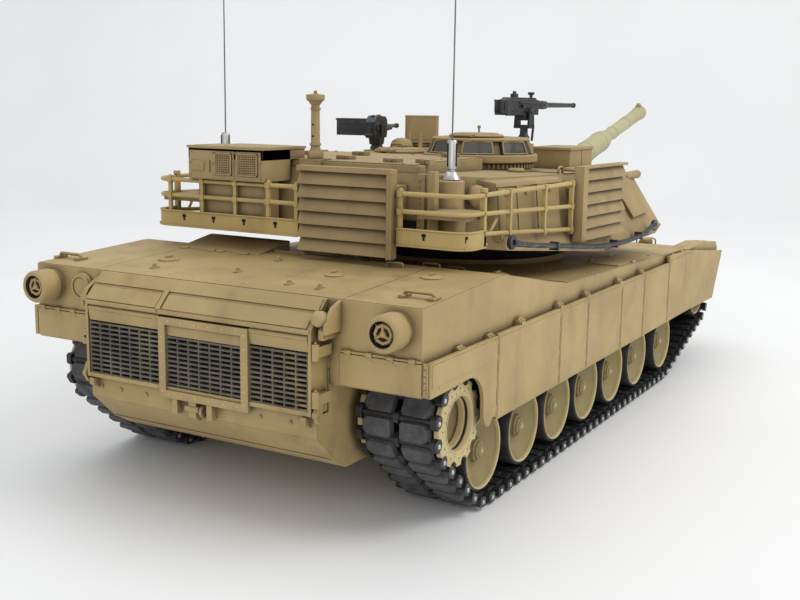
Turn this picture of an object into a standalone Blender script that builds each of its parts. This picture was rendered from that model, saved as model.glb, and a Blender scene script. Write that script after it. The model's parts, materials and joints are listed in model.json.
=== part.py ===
"""Radio-controlled scale model of a main battle tank, as an assembly of separate sub-parts.

Every size below is in millimetres and measured from the rear face of the side sponsons: x runs forward,
y to the left, z up from the ground. The helpers turn millimetres into Blender's metres, and at the end
an empty carries the whole model to its own origin, the middle of its footprint.
"""

import math

import bmesh
import bpy
from mathutils import Matrix, Vector

MM = 0.001
GAP = 0.3                       # clearance between pieces that touch
ORIGIN_X = 299.55               # middle of the model's length

# Running gear
TRACK_CENTRE_Y = 88.9           # middle of each track, to either side
TRACK_THICK = 6.6
TRACK_HALF_WIDTH = 17.3         # between the sprocket's toothed rings
WHEEL_X = (356.2, 300.5, 252.7, 207.0, 162.2, 117.1, 70.3)
WHEEL_Z = 27.0
WHEEL_RADIUS = 19.85
WHEEL_HALF_WIDTH = 17.0
HUB_RADIUS = 5.0
ARM_LENGTH = 26.0
ARM_DROP = 20.0                 # degrees that the arm hangs below level
ARM_PLANE_Y = 69.3              # between the hull's wall and the wheel
IDLER_X = 443.0
IDLER_Z = 50.0
IDLER_RADIUS = 19.0
SPROCKET_X = 37.0
SPROCKET_Z = 49.5
SPROCKET_DRUM = 13.8
SPROCKET_ROOT = 15.9
SPROCKET_HALF_WIDTH = 20.7
SPROCKET_TIP = 19.3
SPROCKET_TEETH = 12

# Hull
TUB_HALF_WIDTH = 65.0
BELLY_Z = 28.0
WALL = 2.5
SPONSON_HALF_WIDTH = 110.0
SPONSON_FLOOR_Z = 76.0
DECK_LINE = ((0, 106.4), (78, 110.3), (139, 98.7), (160, 95.4), (330, 90.4), (380, 88.9), (470, 79.4),
             (486, 72.5))
SKIRT_OUTER_Y = 114.3
SKIRT_THICK = 2.0
SKIRT_BOTTOM_Z = 44.9
SKIRT_SEAMS = (64.6, 141.0, 181.0, 238.0, 281.0, 334.5)
EXHAUST_X = -13.0

# Turret
RING_X = 255.0
RING_RADIUS = 58.0
RACK_X = 69.0
RACK_HALF_WIDTH = 95.4
TRUNNION_X = 337.0
TRUNNION_Z = 118.0
GUN_ELEVATION = 13.1            # degrees above level, as the model stands
GUN_LENGTH = 282.0
CUPOLA = (223.0, -26.0)
LOADER_RING = (220.0, 28.0)
VIEWER = (279.0, 45.5)
VIEWER_YAW = 29.0               # the viewer's head looks ahead and to the left
MG_PIVOT = (268.0, -34.5, 183.0)
MG_YAW = -7.0                   # the commander's gun points a little to the right
LOADER_GUN = (240.0, 57.6)
LOADER_YAW = 12.0               # clear of the viewer's head
ANTENNA = (99.8, 70.1)
ANTENNA_TOP_Z = 330.0

SAND = (0.55, 0.42, 0.25)
DARK_SAND = (0.45, 0.34, 0.20)
BLACK = (0.03, 0.03, 0.032)

# ---------------------------------------------------------------- helpers

PARTS = None
MATERIALS = {}


def material(name, colour, roughness, metallic=0.0):
    made = bpy.data.materials.new(name)
    made.use_nodes = True
    shader = made.node_tree.nodes["Principled BSDF"]
    shader.inputs["Base Color"].default_value = (*colour, 1.0)
    shader.inputs["Roughness"].default_value = roughness
    shader.inputs["Metallic"].default_value = metallic
    made.diffuse_color = (*colour, 1.0)
    MATERIALS[name] = made


def add(name, mesh):
    piece = bpy.data.objects.new(name, mesh)
    PARTS.objects.link(piece)
    return piece


def from_bmesh(name, bm):
    mesh = bpy.data.meshes.new(name)
    bm.to_mesh(mesh)
    bm.free()
    return add(name, mesh)


def box(name, x, y, z):
    bm = bmesh.new()
    size = [(high - low) * MM for low, high in (x, y, z)]
    middle = [(high + low) / 2 * MM for low, high in (x, y, z)]
    bmesh.ops.create_cube(bm, size=1.0, matrix=Matrix.Translation(middle) @ Matrix.Diagonal((*size, 1.0)))
    return from_bmesh(name, bm)


def rod(name, start, end, radius, sides=12, end_radius=None):
    """A round bar or cone from one point to another."""
    start = Vector(start) * MM
    end = Vector(end) * MM
    run = end - start
    turn = Vector((0, 0, 1)).rotation_difference(run).to_matrix().to_4x4()
    bm = bmesh.new()
    bmesh.ops.create_cone(bm, cap_ends=True, segments=sides, radius1=radius * MM,
                          radius2=(radius if end_radius is None else end_radius) * MM, depth=run.length,
                          matrix=Matrix.Translation((start + end) / 2) @ turn)
    return from_bmesh(name, bm)


def settle(piece):
    """Turn a curve, or a mesh with modifiers, into a plain welded mesh."""
    graph = bpy.context.evaluated_depsgraph_get()
    mesh = bpy.data.meshes.new_from_object(piece.evaluated_get(graph))
    bm = bmesh.new()
    bm.from_mesh(mesh)
    bmesh.ops.remove_doubles(bm, verts=bm.verts, dist=0.002 * MM)
    bm.to_mesh(mesh)
    bm.free()
    name = piece.name
    matrix = piece.matrix_world.copy()
    bpy.data.objects.remove(piece)
    solid = add(name, mesh)
    solid.matrix_world = matrix
    return solid


AXES = {
    "X": Matrix(((0, 0, 1), (1, 0, 0), (0, 1, 0))),      # outline in (y, z)
    "Y": Matrix(((1, 0, 0), (0, 0, -1), (0, 1, 0))),     # outline in (x, z)
    "Z": Matrix.Identity(3),                             # outline in (x, y)
}


def plate(name, outline, low, high, axis):
    """A flat outline, extruded along one axis from low to high."""
    curve = bpy.data.curves.new(name, "CURVE")
    curve.dimensions = "2D"
    curve.fill_mode = "BOTH"
    curve.extrude = (high - low) / 2 * MM
    spline = curve.splines.new("POLY")
    spline.points.add(len(outline) - 1)
    for point, (u, v) in zip(spline.points, outline):
        point.co = (u * MM, v * MM, 0.0, 1.0)
    spline.use_cyclic_u = True
    piece = add(name, curve)
    middle = (high + low) / 2 * MM
    shift = {"X": (middle, 0, 0), "Y": (0, middle, 0), "Z": (0, 0, middle)}[axis]
    piece.matrix_world = Matrix.Translation(shift) @ AXES[axis].to_4x4()
    bpy.context.view_layer.update()
    return settle(piece)


def turned(name, profile, centre, axis="Y", sides=20):
    """A profile of (radius, height) points, top first, turned about an axis through centre."""
    bm = bmesh.new()
    points = [bm.verts.new((radius * MM, 0.0, height * MM)) for radius, height in profile]
    closed = profile[0][0] > 0 and profile[-1][0] > 0
    for first, second in zip(points, points[1:] + points[:1] if closed else points[1:]):
        bm.edges.new((first, second))
    piece = from_bmesh(name, bm)
    turn = Matrix.Identity(4)
    if axis == "Y":
        turn = Matrix.Rotation(-math.pi / 2, 4, "X")
    if axis == "X":
        turn = Matrix.Rotation(math.pi / 2, 4, "Y")
    piece.matrix_world = Matrix.Translation(Vector(centre) * MM) @ turn
    screw = piece.modifiers.new("turn", "SCREW")
    screw.axis = "Z"
    screw.steps = sides
    screw.render_steps = sides
    screw.use_merge_vertices = True
    screw.merge_threshold = 0.00001
    bpy.context.view_layer.update()
    return settle(piece)


def tube(name, points, radius, detail=1):
    """A round bar along a list of points."""
    curve = bpy.data.curves.new(name, "CURVE")
    curve.dimensions = "3D"
    curve.bevel_depth = radius * MM
    curve.bevel_resolution = detail
    curve.use_fill_caps = True
    spline = curve.splines.new("POLY")
    spline.points.add(len(points) - 1)
    for point, place in zip(spline.points, points):
        point.co = (*(Vector(place) * MM), 1.0)
    return settle(add(name, curve))


def loft(name, lower, upper):
    """A solid between two closed outlines with the same number of points."""
    bm = bmesh.new()
    bottom = [bm.verts.new(Vector(p) * MM) for p in lower]
    top = [bm.verts.new(Vector(p) * MM) for p in upper]
    count = len(bottom)
    bm.faces.new(list(reversed(bottom)))
    bm.faces.new(top)
    for i in range(count):
        j = (i + 1) % count
        bm.faces.new((bottom[i], bottom[j], top[j], top[i]))
    bmesh.ops.triangulate(bm, faces=bm.faces[:])
    bmesh.ops.recalc_face_normals(bm, faces=bm.faces[:])
    return from_bmesh(name, bm)


def combine(body, others, operation):
    for other in others:
        step = body.modifiers.new(operation.lower(), "BOOLEAN")
        step.operation = operation
        step.solver = "EXACT"
        step.object = other
    name = body.name
    bpy.context.view_layer.update()
    solid = settle(body)
    solid.name = name
    for other in others:
        bpy.data.objects.remove(other)
    return solid


def union(body, *others):
    return combine(body, others, "UNION")


def cut(body, *others):
    return combine(body, others, "DIFFERENCE")


def tilt(piece, centre, axis, degrees):
    spin = Matrix.Rotation(math.radians(degrees), 4, axis)
    centre = Vector(centre) * MM
    piece.data.transform(Matrix.Translation(centre) @ spin @ Matrix.Translation(-centre) @ piece.matrix_world)
    piece.matrix_world = Matrix.Identity(4)
    return piece


def mirrored(piece, name):
    """A copy of a piece on the other side of the model."""
    mesh = piece.data.copy()
    mesh.transform(piece.matrix_world)
    mesh.transform(Matrix.Diagonal((1, -1, 1, 1)))
    mesh.flip_normals()
    return add(name, mesh)


def finish(piece, finish_name, pivot=(0, 0, 0)):
    """Give a piece its material, put its origin on its pivot and shade it."""
    pivot = Vector(pivot) * MM
    piece.data.transform(Matrix.Translation(-pivot) @ piece.matrix_world)
    piece.matrix_world = Matrix.Translation(pivot)
    piece.data.materials.clear()
    piece.data.materials.append(MATERIALS[finish_name])
    piece.data.shade_smooth()
    piece.data.set_sharp_from_angle(angle=math.radians(35))
    return piece


# ---------------------------------------------------------------- running gear

def circle_belt(circles, extra):
    """The outline of a belt pulled round circles (x, z, radius), extra outside them."""
    steps = 24
    cloud = []
    for x, z, radius in circles:
        for i in range(steps):
            angle = 2 * math.pi * i / steps
            cloud.append((x + (radius + extra) * math.cos(angle), z + (radius + extra) * math.sin(angle)))
    cloud.sort()

    def half(points):
        chain = []
        for p in points:
            while len(chain) > 1:
                (ax, az), (bx, bz) = chain[-2], chain[-1]
                if (bx - ax) * (p[1] - az) - (bz - az) * (p[0] - ax) > 1e-6:
                    break
                chain.pop()
            chain.append(p)
        return chain[:-1]
    return half(cloud) + half(cloud[::-1])


def belt_circles():
    slack = 0.25
    circles = [(SPROCKET_X, SPROCKET_Z, SPROCKET_ROOT + slack), (IDLER_X, IDLER_Z, IDLER_RADIUS + slack)]
    return circles + [(x, WHEEL_Z, WHEEL_RADIUS + slack) for x in (WHEEL_X[0], WHEEL_X[-1])]


def make_track():
    low = -TRACK_CENTRE_Y - TRACK_HALF_WIDTH
    high = -TRACK_CENTRE_Y + TRACK_HALF_WIDTH
    inside = circle_belt(belt_circles(), 0.25)
    outside = [(x, max(z, 0.0)) for x, z in circle_belt(belt_circles(), 0.25 + TRACK_THICK)]
    belt = plate("right_track", outside, low, high, "Y")
    return cut(belt, plate("inside", inside, low - 1, high + 1, "Y"))


def make_wheel(name, x, z, radius, side):
    """Two dished discs with rubber tyres on one hub, open between the tyres for the track's guide horns."""
    w = WHEEL_HALF_WIDTH
    rim = radius - 3.0
    profile = [(0, w - 3), (rim, w - 3), (radius, w), (radius, 3.5), (rim - 2, 3.5), (rim - 2, -3.5),
               (radius, -3.5), (radius, -w), (rim, -w), (rim - 2, 4 - w), (HUB_RADIUS, 4 - w),
               (HUB_RADIUS, 2 - w), (0, 2 - w)]
    return turned(name, profile, (x, side * TRACK_CENTRE_Y, z), sides=16)


def make_sprocket():
    y = -TRACK_CENTRE_Y
    profile = [(0, 12.0), (11.0, 12.0), (13.0, 18.5), (SPROCKET_DRUM, 18.5), (SPROCKET_DRUM, -18.5),
               (13.0, -18.5), (11.0, -9.0), (3.6, -9.0), (3.6, -11.0), (0, -11.0)]
    drum = turned("right_sprocket", profile, (SPROCKET_X, y, SPROCKET_Z), sides=24)
    outline = []
    pitch = 2 * math.pi / SPROCKET_TEETH
    for tooth in range(SPROCKET_TEETH):
        for share, radius in ((-0.30, SPROCKET_ROOT), (-0.16, SPROCKET_TIP), (0.16, SPROCKET_TIP),
                              (0.30, SPROCKET_ROOT)):
            angle = pitch * (tooth + share)
            outline.append((SPROCKET_X + radius * math.cos(angle), SPROCKET_Z + radius * math.sin(angle)))
    rings = []
    for low in (y - SPROCKET_HALF_WIDTH, y + SPROCKET_HALF_WIDTH - 3.0):
        ring = plate("ring", outline, low, low + 3.0, "Y")
        bore = rod("bore", (SPROCKET_X, low - 1, SPROCKET_Z), (SPROCKET_X, low + 4, SPROCKET_Z), 12.6, 24)
        rings.append(cut(ring, bore))
    return union(drum, *rings)


def make_arm(index, x):
    """A trailing arm: its pivot is ahead of the wheel and above it."""
    drop = math.radians(ARM_DROP)
    pivot = (x + ARM_LENGTH * math.cos(drop), WHEEL_Z + ARM_LENGTH * math.sin(drop))
    near, far = -ARM_PLANE_Y + 1.5, -ARM_PLANE_Y - 1.2
    across = Vector((-math.sin(drop), math.cos(drop)))
    top, end = Vector(pivot), Vector((x, WHEEL_Z))
    outline = [top + across * 4.2, end + across * 3.2, end - across * 3.2, top - across * 4.2]
    arm = plate(f"right_swing_arm_{index}", outline, far, near, "Y")
    eye = rod("eye", (pivot[0], near + 1.2, pivot[1]), (pivot[0], far - 0.4, pivot[1]), 4.8, 12)
    end = rod("end", (x, near + 0.4, WHEEL_Z), (x, far - 0.4, WHEEL_Z), 3.8, 12)
    return union(arm, eye, end), pivot


def running_gear():
    pieces = []
    track = make_track()
    sprocket = make_sprocket()
    idler = make_wheel("right_idler", IDLER_X, IDLER_Z, IDLER_RADIUS, -1)
    wheels = []
    for index, x in enumerate(WHEEL_X, 1):
        wheel = make_wheel(f"right_road_wheel_{index}", x, WHEEL_Z, WHEEL_RADIUS, -1)
        arm, pivot = make_arm(index, x)
        wheels.append((wheel, "wheel_sand", (x, -TRACK_CENTRE_Y, WHEEL_Z)))
        wheels.append((arm, "dark_sand", (pivot[0], -ARM_PLANE_Y, pivot[1])))
    rights = [(track, "track_black", (RING_X, -TRACK_CENTRE_Y, 0)),
              (sprocket, "wheel_sand", (SPROCKET_X, -TRACK_CENTRE_Y, SPROCKET_Z)),
              (idler, "wheel_sand", (IDLER_X, -TRACK_CENTRE_Y, IDLER_Z))] + wheels
    for piece, finish_name, pivot in rights:
        other = mirrored(piece, piece.name.replace("right", "left"))
        pieces.append(finish(piece, finish_name, pivot))
        pieces.append(finish(other, finish_name, (pivot[0], -pivot[1], pivot[2])))
    return pieces


# ---------------------------------------------------------------- hull

def make_lower_hull():
    outer = [(-10.2, 57), (-9.5, 47), (4, 34), (14, BELLY_Z), (430, BELLY_Z), (466, 50), (484, 66),
             (480, 71.5), (470, SPONSON_FLOOR_Z - GAP), (-0.3, SPONSON_FLOOR_Z - GAP), (-0.3, 57)]
    tub = plate("lower_hull", outer, -TUB_HALF_WIDTH, TUB_HALF_WIDTH, "Y")
    inner = [(3, 60), (5, 40), (16, BELLY_Z + WALL), (429, BELLY_Z + WALL), (462, 52), (472, 66),
             (462, 80), (3, 80)]
    inside = plate("inside", inner, -TUB_HALF_WIDTH + WALL, TUB_HALF_WIDTH - WALL, "Y")
    tub = cut(tub, inside)
    extras = []
    for side in (-1, 1):
        drop = math.radians(ARM_DROP)
        for x in WHEEL_X:
            at = (x + ARM_LENGTH * math.cos(drop), WHEEL_Z + ARM_LENGTH * math.sin(drop))
            extras.append(rod("boss", (at[0], side * (TUB_HALF_WIDTH - 1), at[1]),
                              (at[0], side * (TUB_HALF_WIDTH + 1.2), at[1]), 5.0, 10))
        for x, z, reach in ((SPROCKET_X, SPROCKET_Z, 73.4), (IDLER_X, IDLER_Z, 71.4)):
            extras.append(rod("axle", (x, side * (TUB_HALF_WIDTH - 1), z), (x, side * reach, z), 3.6, 12))
        extras.append(box("shackle", (-13.5, -8.0), sorted((side * 8.5, side * 11.5)), (47.5, 54.5)))
        extras.append(plate("lifting_lug", [(-14, 57.0), (-14, 54), (-7, 50), (-7, 57.0)],
                            side * 61 - 1.4, side * 61 + 1.4, "Y"))
        extras.append(plate("front_hook", [(476, 60), (486, 56), (490, 61), (483, 67)],
                            side * 44 - 1.6, side * 44 + 1.6, "Y"))
    return union(tub, *extras)


def make_upper_hull():
    floor_line = [(486, 71.0), (472, 76.6), (452, 79.6), (396, 81.2), (386, SPONSON_FLOOR_Z),
                  (2.6, SPONSON_FLOOR_Z), (2.6, 69.3), (0, 69.3)]
    hull = plate("upper_hull", list(DECK_LINE) + floor_line, -SPONSON_HALF_WIDTH, SPONSON_HALF_WIDTH, "Y")
    nose = plate("nose", [(380, 76), (380, 86), (470, 79), (486, 72), (487, 68.5), (481.5, 72), (470.5, 76)],
                 -TUB_HALF_WIDTH, TUB_HALF_WIDTH, "Y")
    exhaust = plate("exhaust", [(1, 106.4), (-1.5, 106.4), (EXHAUST_X, 94.5), (EXHAUST_X, 57.5),
                                (-0.6, 57.5), (-0.6, 76.3), (1, 76.3)], -64.5, 64.5, "Y")
    hull = union(hull, nose, exhaust)
    roof = [(x, z - WALL) for x, z in DECK_LINE[:6]]
    inner = [(WALL + 0.5, 78.5), (WALL + 0.5, 104)] + roof[1:] + [(380, 78.5)]
    inside = plate("inside", inner, -SPONSON_HALF_WIDTH + WALL, SPONSON_HALF_WIDTH - WALL, "Y")
    opening = box("opening", (WALL + 0.5, 378), (-62, 62), (70, 82))
    ring = rod("ring", (RING_X, 0, 70), (RING_X, 0, 120), RING_RADIUS + 2, 36)
    recess = box("recess", (EXHAUST_X - 1, EXHAUST_X + 3.5), (-63, 63), (59.5, 92.5))
    grille_back = box("grille_back", (EXHAUST_X + 3, 3.2), (-60, 60), (62, 90))
    room = TUB_HALF_WIDTH + GAP
    tub_room = box("tub_room", (-0.6, 3.0), (-room, room), (60, SPONSON_FLOOR_Z))
    collar = rod("collar", (RING_X, 0, 86), (RING_X, 0, 96.6), RING_RADIUS + 9, 36)
    screen = [(66, 108), (66, 110.2), (92, 114.6), (93.5, 114.6), (93.5, 106)]
    extras = [collar, plate("deck_screen", screen, 22.5, 75.5, "Y")]
    for side in (-1, 1):
        extras.append(rod("light", (0.5, side * 98.5, 97.0), (-12, side * 98.5, 97.0), 7.4, 20))
        extras.append(rod("headlight", (462, side * 56, 80.5), (474, side * 56, 80.5), 4.0, 14))
        extras.append(plate("fender_ramp", [(392, 80), (392, 87.4), (437, 88.6), (474, 85.0), (480, 79), (470, 76.5)],
                            *sorted((side * 96, side * SPONSON_HALF_WIDTH)), "Y"))
        extras.append(plate("guard", [(0.5, 104), (-8, 99), (-11, 94.5), (-11, 90.5), (0.5, 90.5)],
                            side * 68 - 1.2, side * 68 + 1.2, "Y"))
    extras.append(rod("round_port", (0.5, 79, 97.5), (-1.8, 79, 97.5), 6.2, 20))
    extras.append(plate("driver_hatch", [(326, -17), (326, 17), (333, 21), (352, 21), (360, 14), (360, -14),
                                         (352, -21), (333, -21)], 86, 92.6, "Z"))
    for y in (-12, 0, 12):
        extras.append(box("driver_scope", (359.5, 366), (y - 4, y + 4), (85, 95)))
    hull = union(hull, *extras)
    for cutter in (inside, opening, ring, recess, grille_back, tub_room):
        hull = cut(hull, cutter)
    lamps = [rod("lamp", (-13, side * 98.5, 97), (-9, side * 98.5, 97), 5.6, 20) for side in (-1, 1)]
    return cut(hull, *lamps)


def make_grille():
    """The exhaust grille: three framed panels of bars in one welded piece."""
    x = EXHAUST_X
    frame = box("rear_grille", (x + 0.2, x + 2.6), (-62.6, 62.6), (59.8, 92.2))
    panels = ((19.5, 61.4), (-29.5, 16.5), (-61.4, -32.5))
    holes = [box("hole", (x - 1, x + 4), panel, (62, 87)) for panel in panels]
    frame = cut(frame, *holes)
    bars = []
    for i in range(6):
        z = 64.6 + i * 4.0
        bars.append(box("bar", (x + 0.6, x + 2.2), (-62, 62), (z - 0.6, z + 0.6)))
    return union(frame, *bars)


def make_skirt():
    """The right side armour: seven panels on one carrier, cut away round the sprocket."""
    y0, y1 = -SKIRT_OUTER_Y, -SKIRT_OUTER_Y + SKIRT_THICK
    outline = [(0.5, 84.6), (0.5, 69.3), (18, 70.5), (40, 71.8), (52, 68), (58, 58), (60, SKIRT_BOTTOM_Z),
               (392, SKIRT_BOTTOM_Z), (457, 43.4), (479, 78.2), (381, 88.9), (334.5, 89.7), (334.5, 84.6)]
    skirt = plate("right_skirt", outline, y0, y1, "Y")
    brackets = []
    for x in (20, 100, 160, 210, 262, 310, 400):
        brackets.append(box("bracket", (x - 4, x + 4), (y1 - 0.5, -SPONSON_HALF_WIDTH - GAP), (77.5, 81.0)))
    skirt = union(skirt, *brackets)
    seams = [box("seam", (x - 0.25, x + 0.25), (y0 - 1, y0 + 0.5), (40, 95)) for x in SKIRT_SEAMS]
    return cut(skirt, *seams)


def hull_parts():
    pieces = [finish(make_lower_hull(), "sand"), finish(make_upper_hull(), "sand"),
              finish(make_grille(), "grille_dark")]
    skirt = make_skirt()
    pieces.append(finish(mirrored(skirt, "left_skirt"), "sand"))
    pieces.append(finish(skirt, "sand"))
    return pieces


def inner_parts():
    """The electric drive and the electronics in the tub."""
    floor = BELLY_Z + WALL + GAP
    pieces = []
    box_right = box("right_gearbox", (22, 66), (-61.5, -22), (34.5, 62))
    motor = rod("motor", (66.5, -40, 47), (112, -40, 47), 12.0, 16)
    shaft = rod("shaft", (64, -40, 47), (67, -40, 47), 5.0, 12)
    gearbox = union(box_right, shaft, motor)
    pieces.append(finish(mirrored(gearbox, "left_gearbox"), "motor_steel"))
    pieces.append(finish(gearbox, "motor_steel"))
    battery = union(box("battery_pack", (150, 285), (-23, 23), (floor, floor + 25)),
                    box("plug", (284, 296), (-8, 8), (floor + 3, floor + 12)))
    pieces.append(finish(battery, "battery_blue"))
    board = box("control_board", (310, 400), (-34, 34), (floor + 5, floor + 7))
    legs = [rod("leg", (x, y, floor), (x, y, floor + 6), 2.2, 8) for x in (316, 394) for y in (-28, 28)]
    chips = [box("chip", (330, 352), (-16, 6), (floor + 6, floor + 12)),
             box("sockets", (372, 384), (-26, 26), (floor + 6, floor + 14))]
    pieces.append(finish(union(board, *legs, *chips), "board_green"))
    return pieces


# ---------------------------------------------------------------- turret

TURRET_LOWER = ((88, 0, 119), (88, -56, 119), (116, -94, 116.2), (234, -104, 103.5), (328, -105, 105.5),
                (344, -103.5, 109.5), (366, -21, 106), (366, 0, 106))
TURRET_UPPER = ((93, 0, 154), (93, -54, 153.6), (117, -80, 151.6), (205, -87, 149.6), (300, -88, 146.5),
                (338, -84, 142.0), (350, -21, 145.5), (350, 0, 145.5))


def both_sides(half):
    return list(half) + [(x, -y, z) for x, y, z in half[-2:0:-1]]


def make_turret_shell():
    shell = loft("turret_shell", both_sides(TURRET_LOWER), both_sides(TURRET_UPPER))
    seat = rod("seat", (RING_X, 0, 102.9), (RING_X, 0, 112), RING_RADIUS + 10, 36)
    sight = box("sight_box", (284, 327), (-60, -33), (140, 160.8))
    deck = plate("roof_panels", [(94, -56), (112, -50), (190, -44), (190, 60), (94, 60)], 146, 157.2, "Z")
    stand = rod("viewer_stand", (*VIEWER, 140), (*VIEWER, 158.4), 13, 20)
    ring_left = rod("loader_stand", (*LOADER_RING, 146), (*LOADER_RING, 157.0), 25, 28)
    gun_stand = box("gun_stand", (234, 246), (51, 64), (146, 157.0))
    ring_right = rod("cupola_stand", (*CUPOLA, 146), (*CUPOLA, 153.4), 31, 28)
    extras = [seat, sight, stand, ring_left, gun_stand, ring_right, deck]
    for side in (-1, 1):
        extras.append(box("antenna_box", (93, 107), sorted((side * 63, side * 77)), (124, 150.8)))
        extras.append(rod("launcher", (316, side * 85.5, 142.4), (347, side * 85.5, 142.4), 2.8, 14))
    extras.append(box("sensor_foot", (91, 103), (2.5, 14.5), (150, 158.6)))
    for side in (-1, 1):
        panel = [(190, side * 101), (252, side * 105), (252, side * 98), (190, side * 90)]
        extras.append(plate("side_louvres", panel, 113.5, 155, "Z"))
    extras.append(box("rear_louvres", (66, 72), (-56, -1.3), (114.5, 156.9)))
    extras.append(box("louvre_brackets", (71, 96), (-50, -8), (125, 148)))
    shell = union(shell, *extras)
    inner_lower = [(98, 0, 122), (98, -50, 122), (121, -85, 119.5), (234, -97, 108), (322, -98, 110),
                   (334, -96, 114), (308, -27, 110), (308, 0, 110)]
    inner_upper = [(99, 0, 142), (99, -48, 142), (123, -70, 142), (205, -78, 142), (298, -80, 141),
                   (312, -78, 140), (305, -27, 140), (305, 0, 140)]
    inside = loft("inside", both_sides(inner_lower), both_sides(inner_upper))
    notch = box("notch", (TRUNNION_X - 23.5, 400), (-22, 22), (90, 170))
    hole = rod("hole", (RING_X, 0, 90), (RING_X, 0, 112), RING_RADIUS - 4, 36)
    cupola_room = rod("cupola_room", (*CUPOLA, 153.5), (*CUPOLA, 160), 35.0, 36)
    for cutter in (inside, notch, hole, cupola_room):
        shell = cut(shell, cutter)
    return shell


def make_turret_base():
    """The turning ring under the turret: a flange over the hull's collar and a drum inside it."""
    profile = [(RING_RADIUS + 6, 102.6), (RING_RADIUS + 6, 97.0), (RING_RADIUS, 97.0), (RING_RADIUS, 84.0),
               (RING_RADIUS - 6, 84.0), (RING_RADIUS - 6, 102.6)]
    return turned("turret_ring", profile, (RING_X, 0, 0), "Z", 36)


def in_gun_line(piece):
    """Raise a piece made along the level gun line to the gun's elevation."""
    return tilt(piece, (TRUNNION_X, 0, TRUNNION_Z), "Y", -GUN_ELEVATION)


def make_mantlet():
    x, z = TRUNNION_X, TRUNNION_Z
    body = rod("gun_mantlet", (x, -21.5, z), (x, 21.5, z), 22.0, 24)
    shield = plate("shield", [(x - 4, z + 20), (x + 40, z + 17), (x + 47, z + 10), (x + 47, z - 12),
                              (x + 40, z - 17), (x - 4, z - 20)], -21.5, 21.5, "Y")
    sleeve = rod("sleeve", (x + 40, 0, z), (x + 60, 0, z), 9.5, 20, 8.0)
    hole = rod("hole", (x + 50, 0, z), (x + 70, 0, z), 5.8, 20)
    return in_gun_line(cut(union(body, shield, sleeve), hole))


def make_barrel():
    x, z = TRUNNION_X, TRUNNION_Z
    profile = [(0, GUN_LENGTH - 25), (3.75, GUN_LENGTH - 25), (3.75, GUN_LENGTH), (6.2, GUN_LENGTH),
               (6.2, GUN_LENGTH - 7), (5.4, GUN_LENGTH - 8), (5.4, 186), (7.2, 183), (8.4, 176), (8.4, 136),
               (7.2, 128), (5.5, 125), (5.5, 50.3), (0, 50.3)]
    barrel = turned("gun_barrel", profile, (x, 0, z), "X", 20)
    sensor = box("sensor", (x + GUN_LENGTH - 6, x + GUN_LENGTH - 1), (-2.2, 2.2), (z + 4, z + 9.2))
    return in_gun_line(union(barrel, sensor))


def rack_path(z, inset=0.0):
    """The rack's rail round the back of the turret at one height, right end first."""
    x, y, r = RACK_X + inset, RACK_HALF_WIDTH - inset, 9.0
    corner = []
    for i in range(4):
        angle = math.radians(30 * i)
        corner.append((x + r - r * math.sin(angle), y - r + r * math.cos(angle), z))
    left = [(88, y, z)] + corner
    return [(px, -py, pz) for px, py, pz in left] + left[::-1]


def make_rack():
    band_outer = [(px, py) for px, py, _ in rack_path(0)]
    band = plate("bustle_rack", band_outer, 120.8, 129.3, "Z")
    band_inner = [(px, py) for px, py, _ in rack_path(0, 2.0)]
    band_inner[0] = (95, band_inner[0][1])
    band_inner[-1] = (95, band_inner[-1][1])
    band = cut(band, plate("hollow", band_inner, 122.6, 135, "Z"),
               box("panel_room", (60, 72 + GAP), (-56 - GAP, -1.3 + GAP), (110, 150)))
    rails = []
    for z in (137.2, 145.6):
        path = rack_path(z, 1.0)
        rails.append(tube("rail", path[:5] + [(RACK_X + 1, -57.4, z)], 1.0))
        rails.append(tube("rail", [(RACK_X + 1, 0.3, z)] + path[5:], 1.0))
    for y in (-84, -58.6, 1.3, 19, 40, 62, 84):
        rails.append(box("post", (RACK_X, RACK_X + 2), (y - 1, y + 1), (128, 146.6)))
    for side in (-1, 1):
        end = sorted((side * RACK_HALF_WIDTH, side * 92.6))
        rails.append(box("end_plate", (85.6, 88), end, (120.8, 147.2)))
        for z0, z1 in ((145.8, 145.8), (137, 133.2), (127.5, 120.5)):
            rails.append(rod("side_rail", (86, side * 95.0, z0), (189, side * 99.5, z1), 1.0, 8))
        for x, foot in ((112, 125.2), (152, 122.4), (187, 119.7)):
            y = 95.0 + 4.5 * (x - 86) / 103
            across = sorted((side * (y - 1.2), side * (y + 1.2)))
            rails.append(box("side_post", (x - 1.1, x + 1.1), across, (foot, 147.0)))
    return union(band, *rails)


def make_equipment_box():
    body = box("equipment_box", (67, 104), (20.2, 68.8), (147.0, 164.2))
    lower = box("lower", (72, 86), (24, 66), (123.0, 148))
    lid = box("lid", (66, 104.6), (19.6, 69.4), (162.4, 164.6))
    clear_roof = box("clear_roof", (91.2, 110), (10, 80), (110, 157.5))
    aerial_corner = box("aerial_corner", (ANTENNA[0] - 6, 110), (ANTENNA[1] - 6, 80), (140, 170))
    return cut(cut(union(body, lower, lid), clear_roof), aerial_corner)


def make_cupola():
    x, y = CUPOLA
    profile = [(0, 168.0), (28.8, 168.0), (32.0, 158.6), (34.5, 158.6), (34.5, 153.8), (23.5, 153.8),
               (23.5, 165.4), (0, 165.4)]
    ring = turned("commander_cupola", profile, (x, y, 0), "Z", 28)
    foot = box("gun_foot", (x + 25, x + 50), (y - 13.5, y - 3.5), (157, 163.4))
    hatchway = rod("hatchway", (x - 6, y, 150), (x - 6, y, 172), 13.5, 20)
    return cut(union(ring, foot), hatchway)


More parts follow.
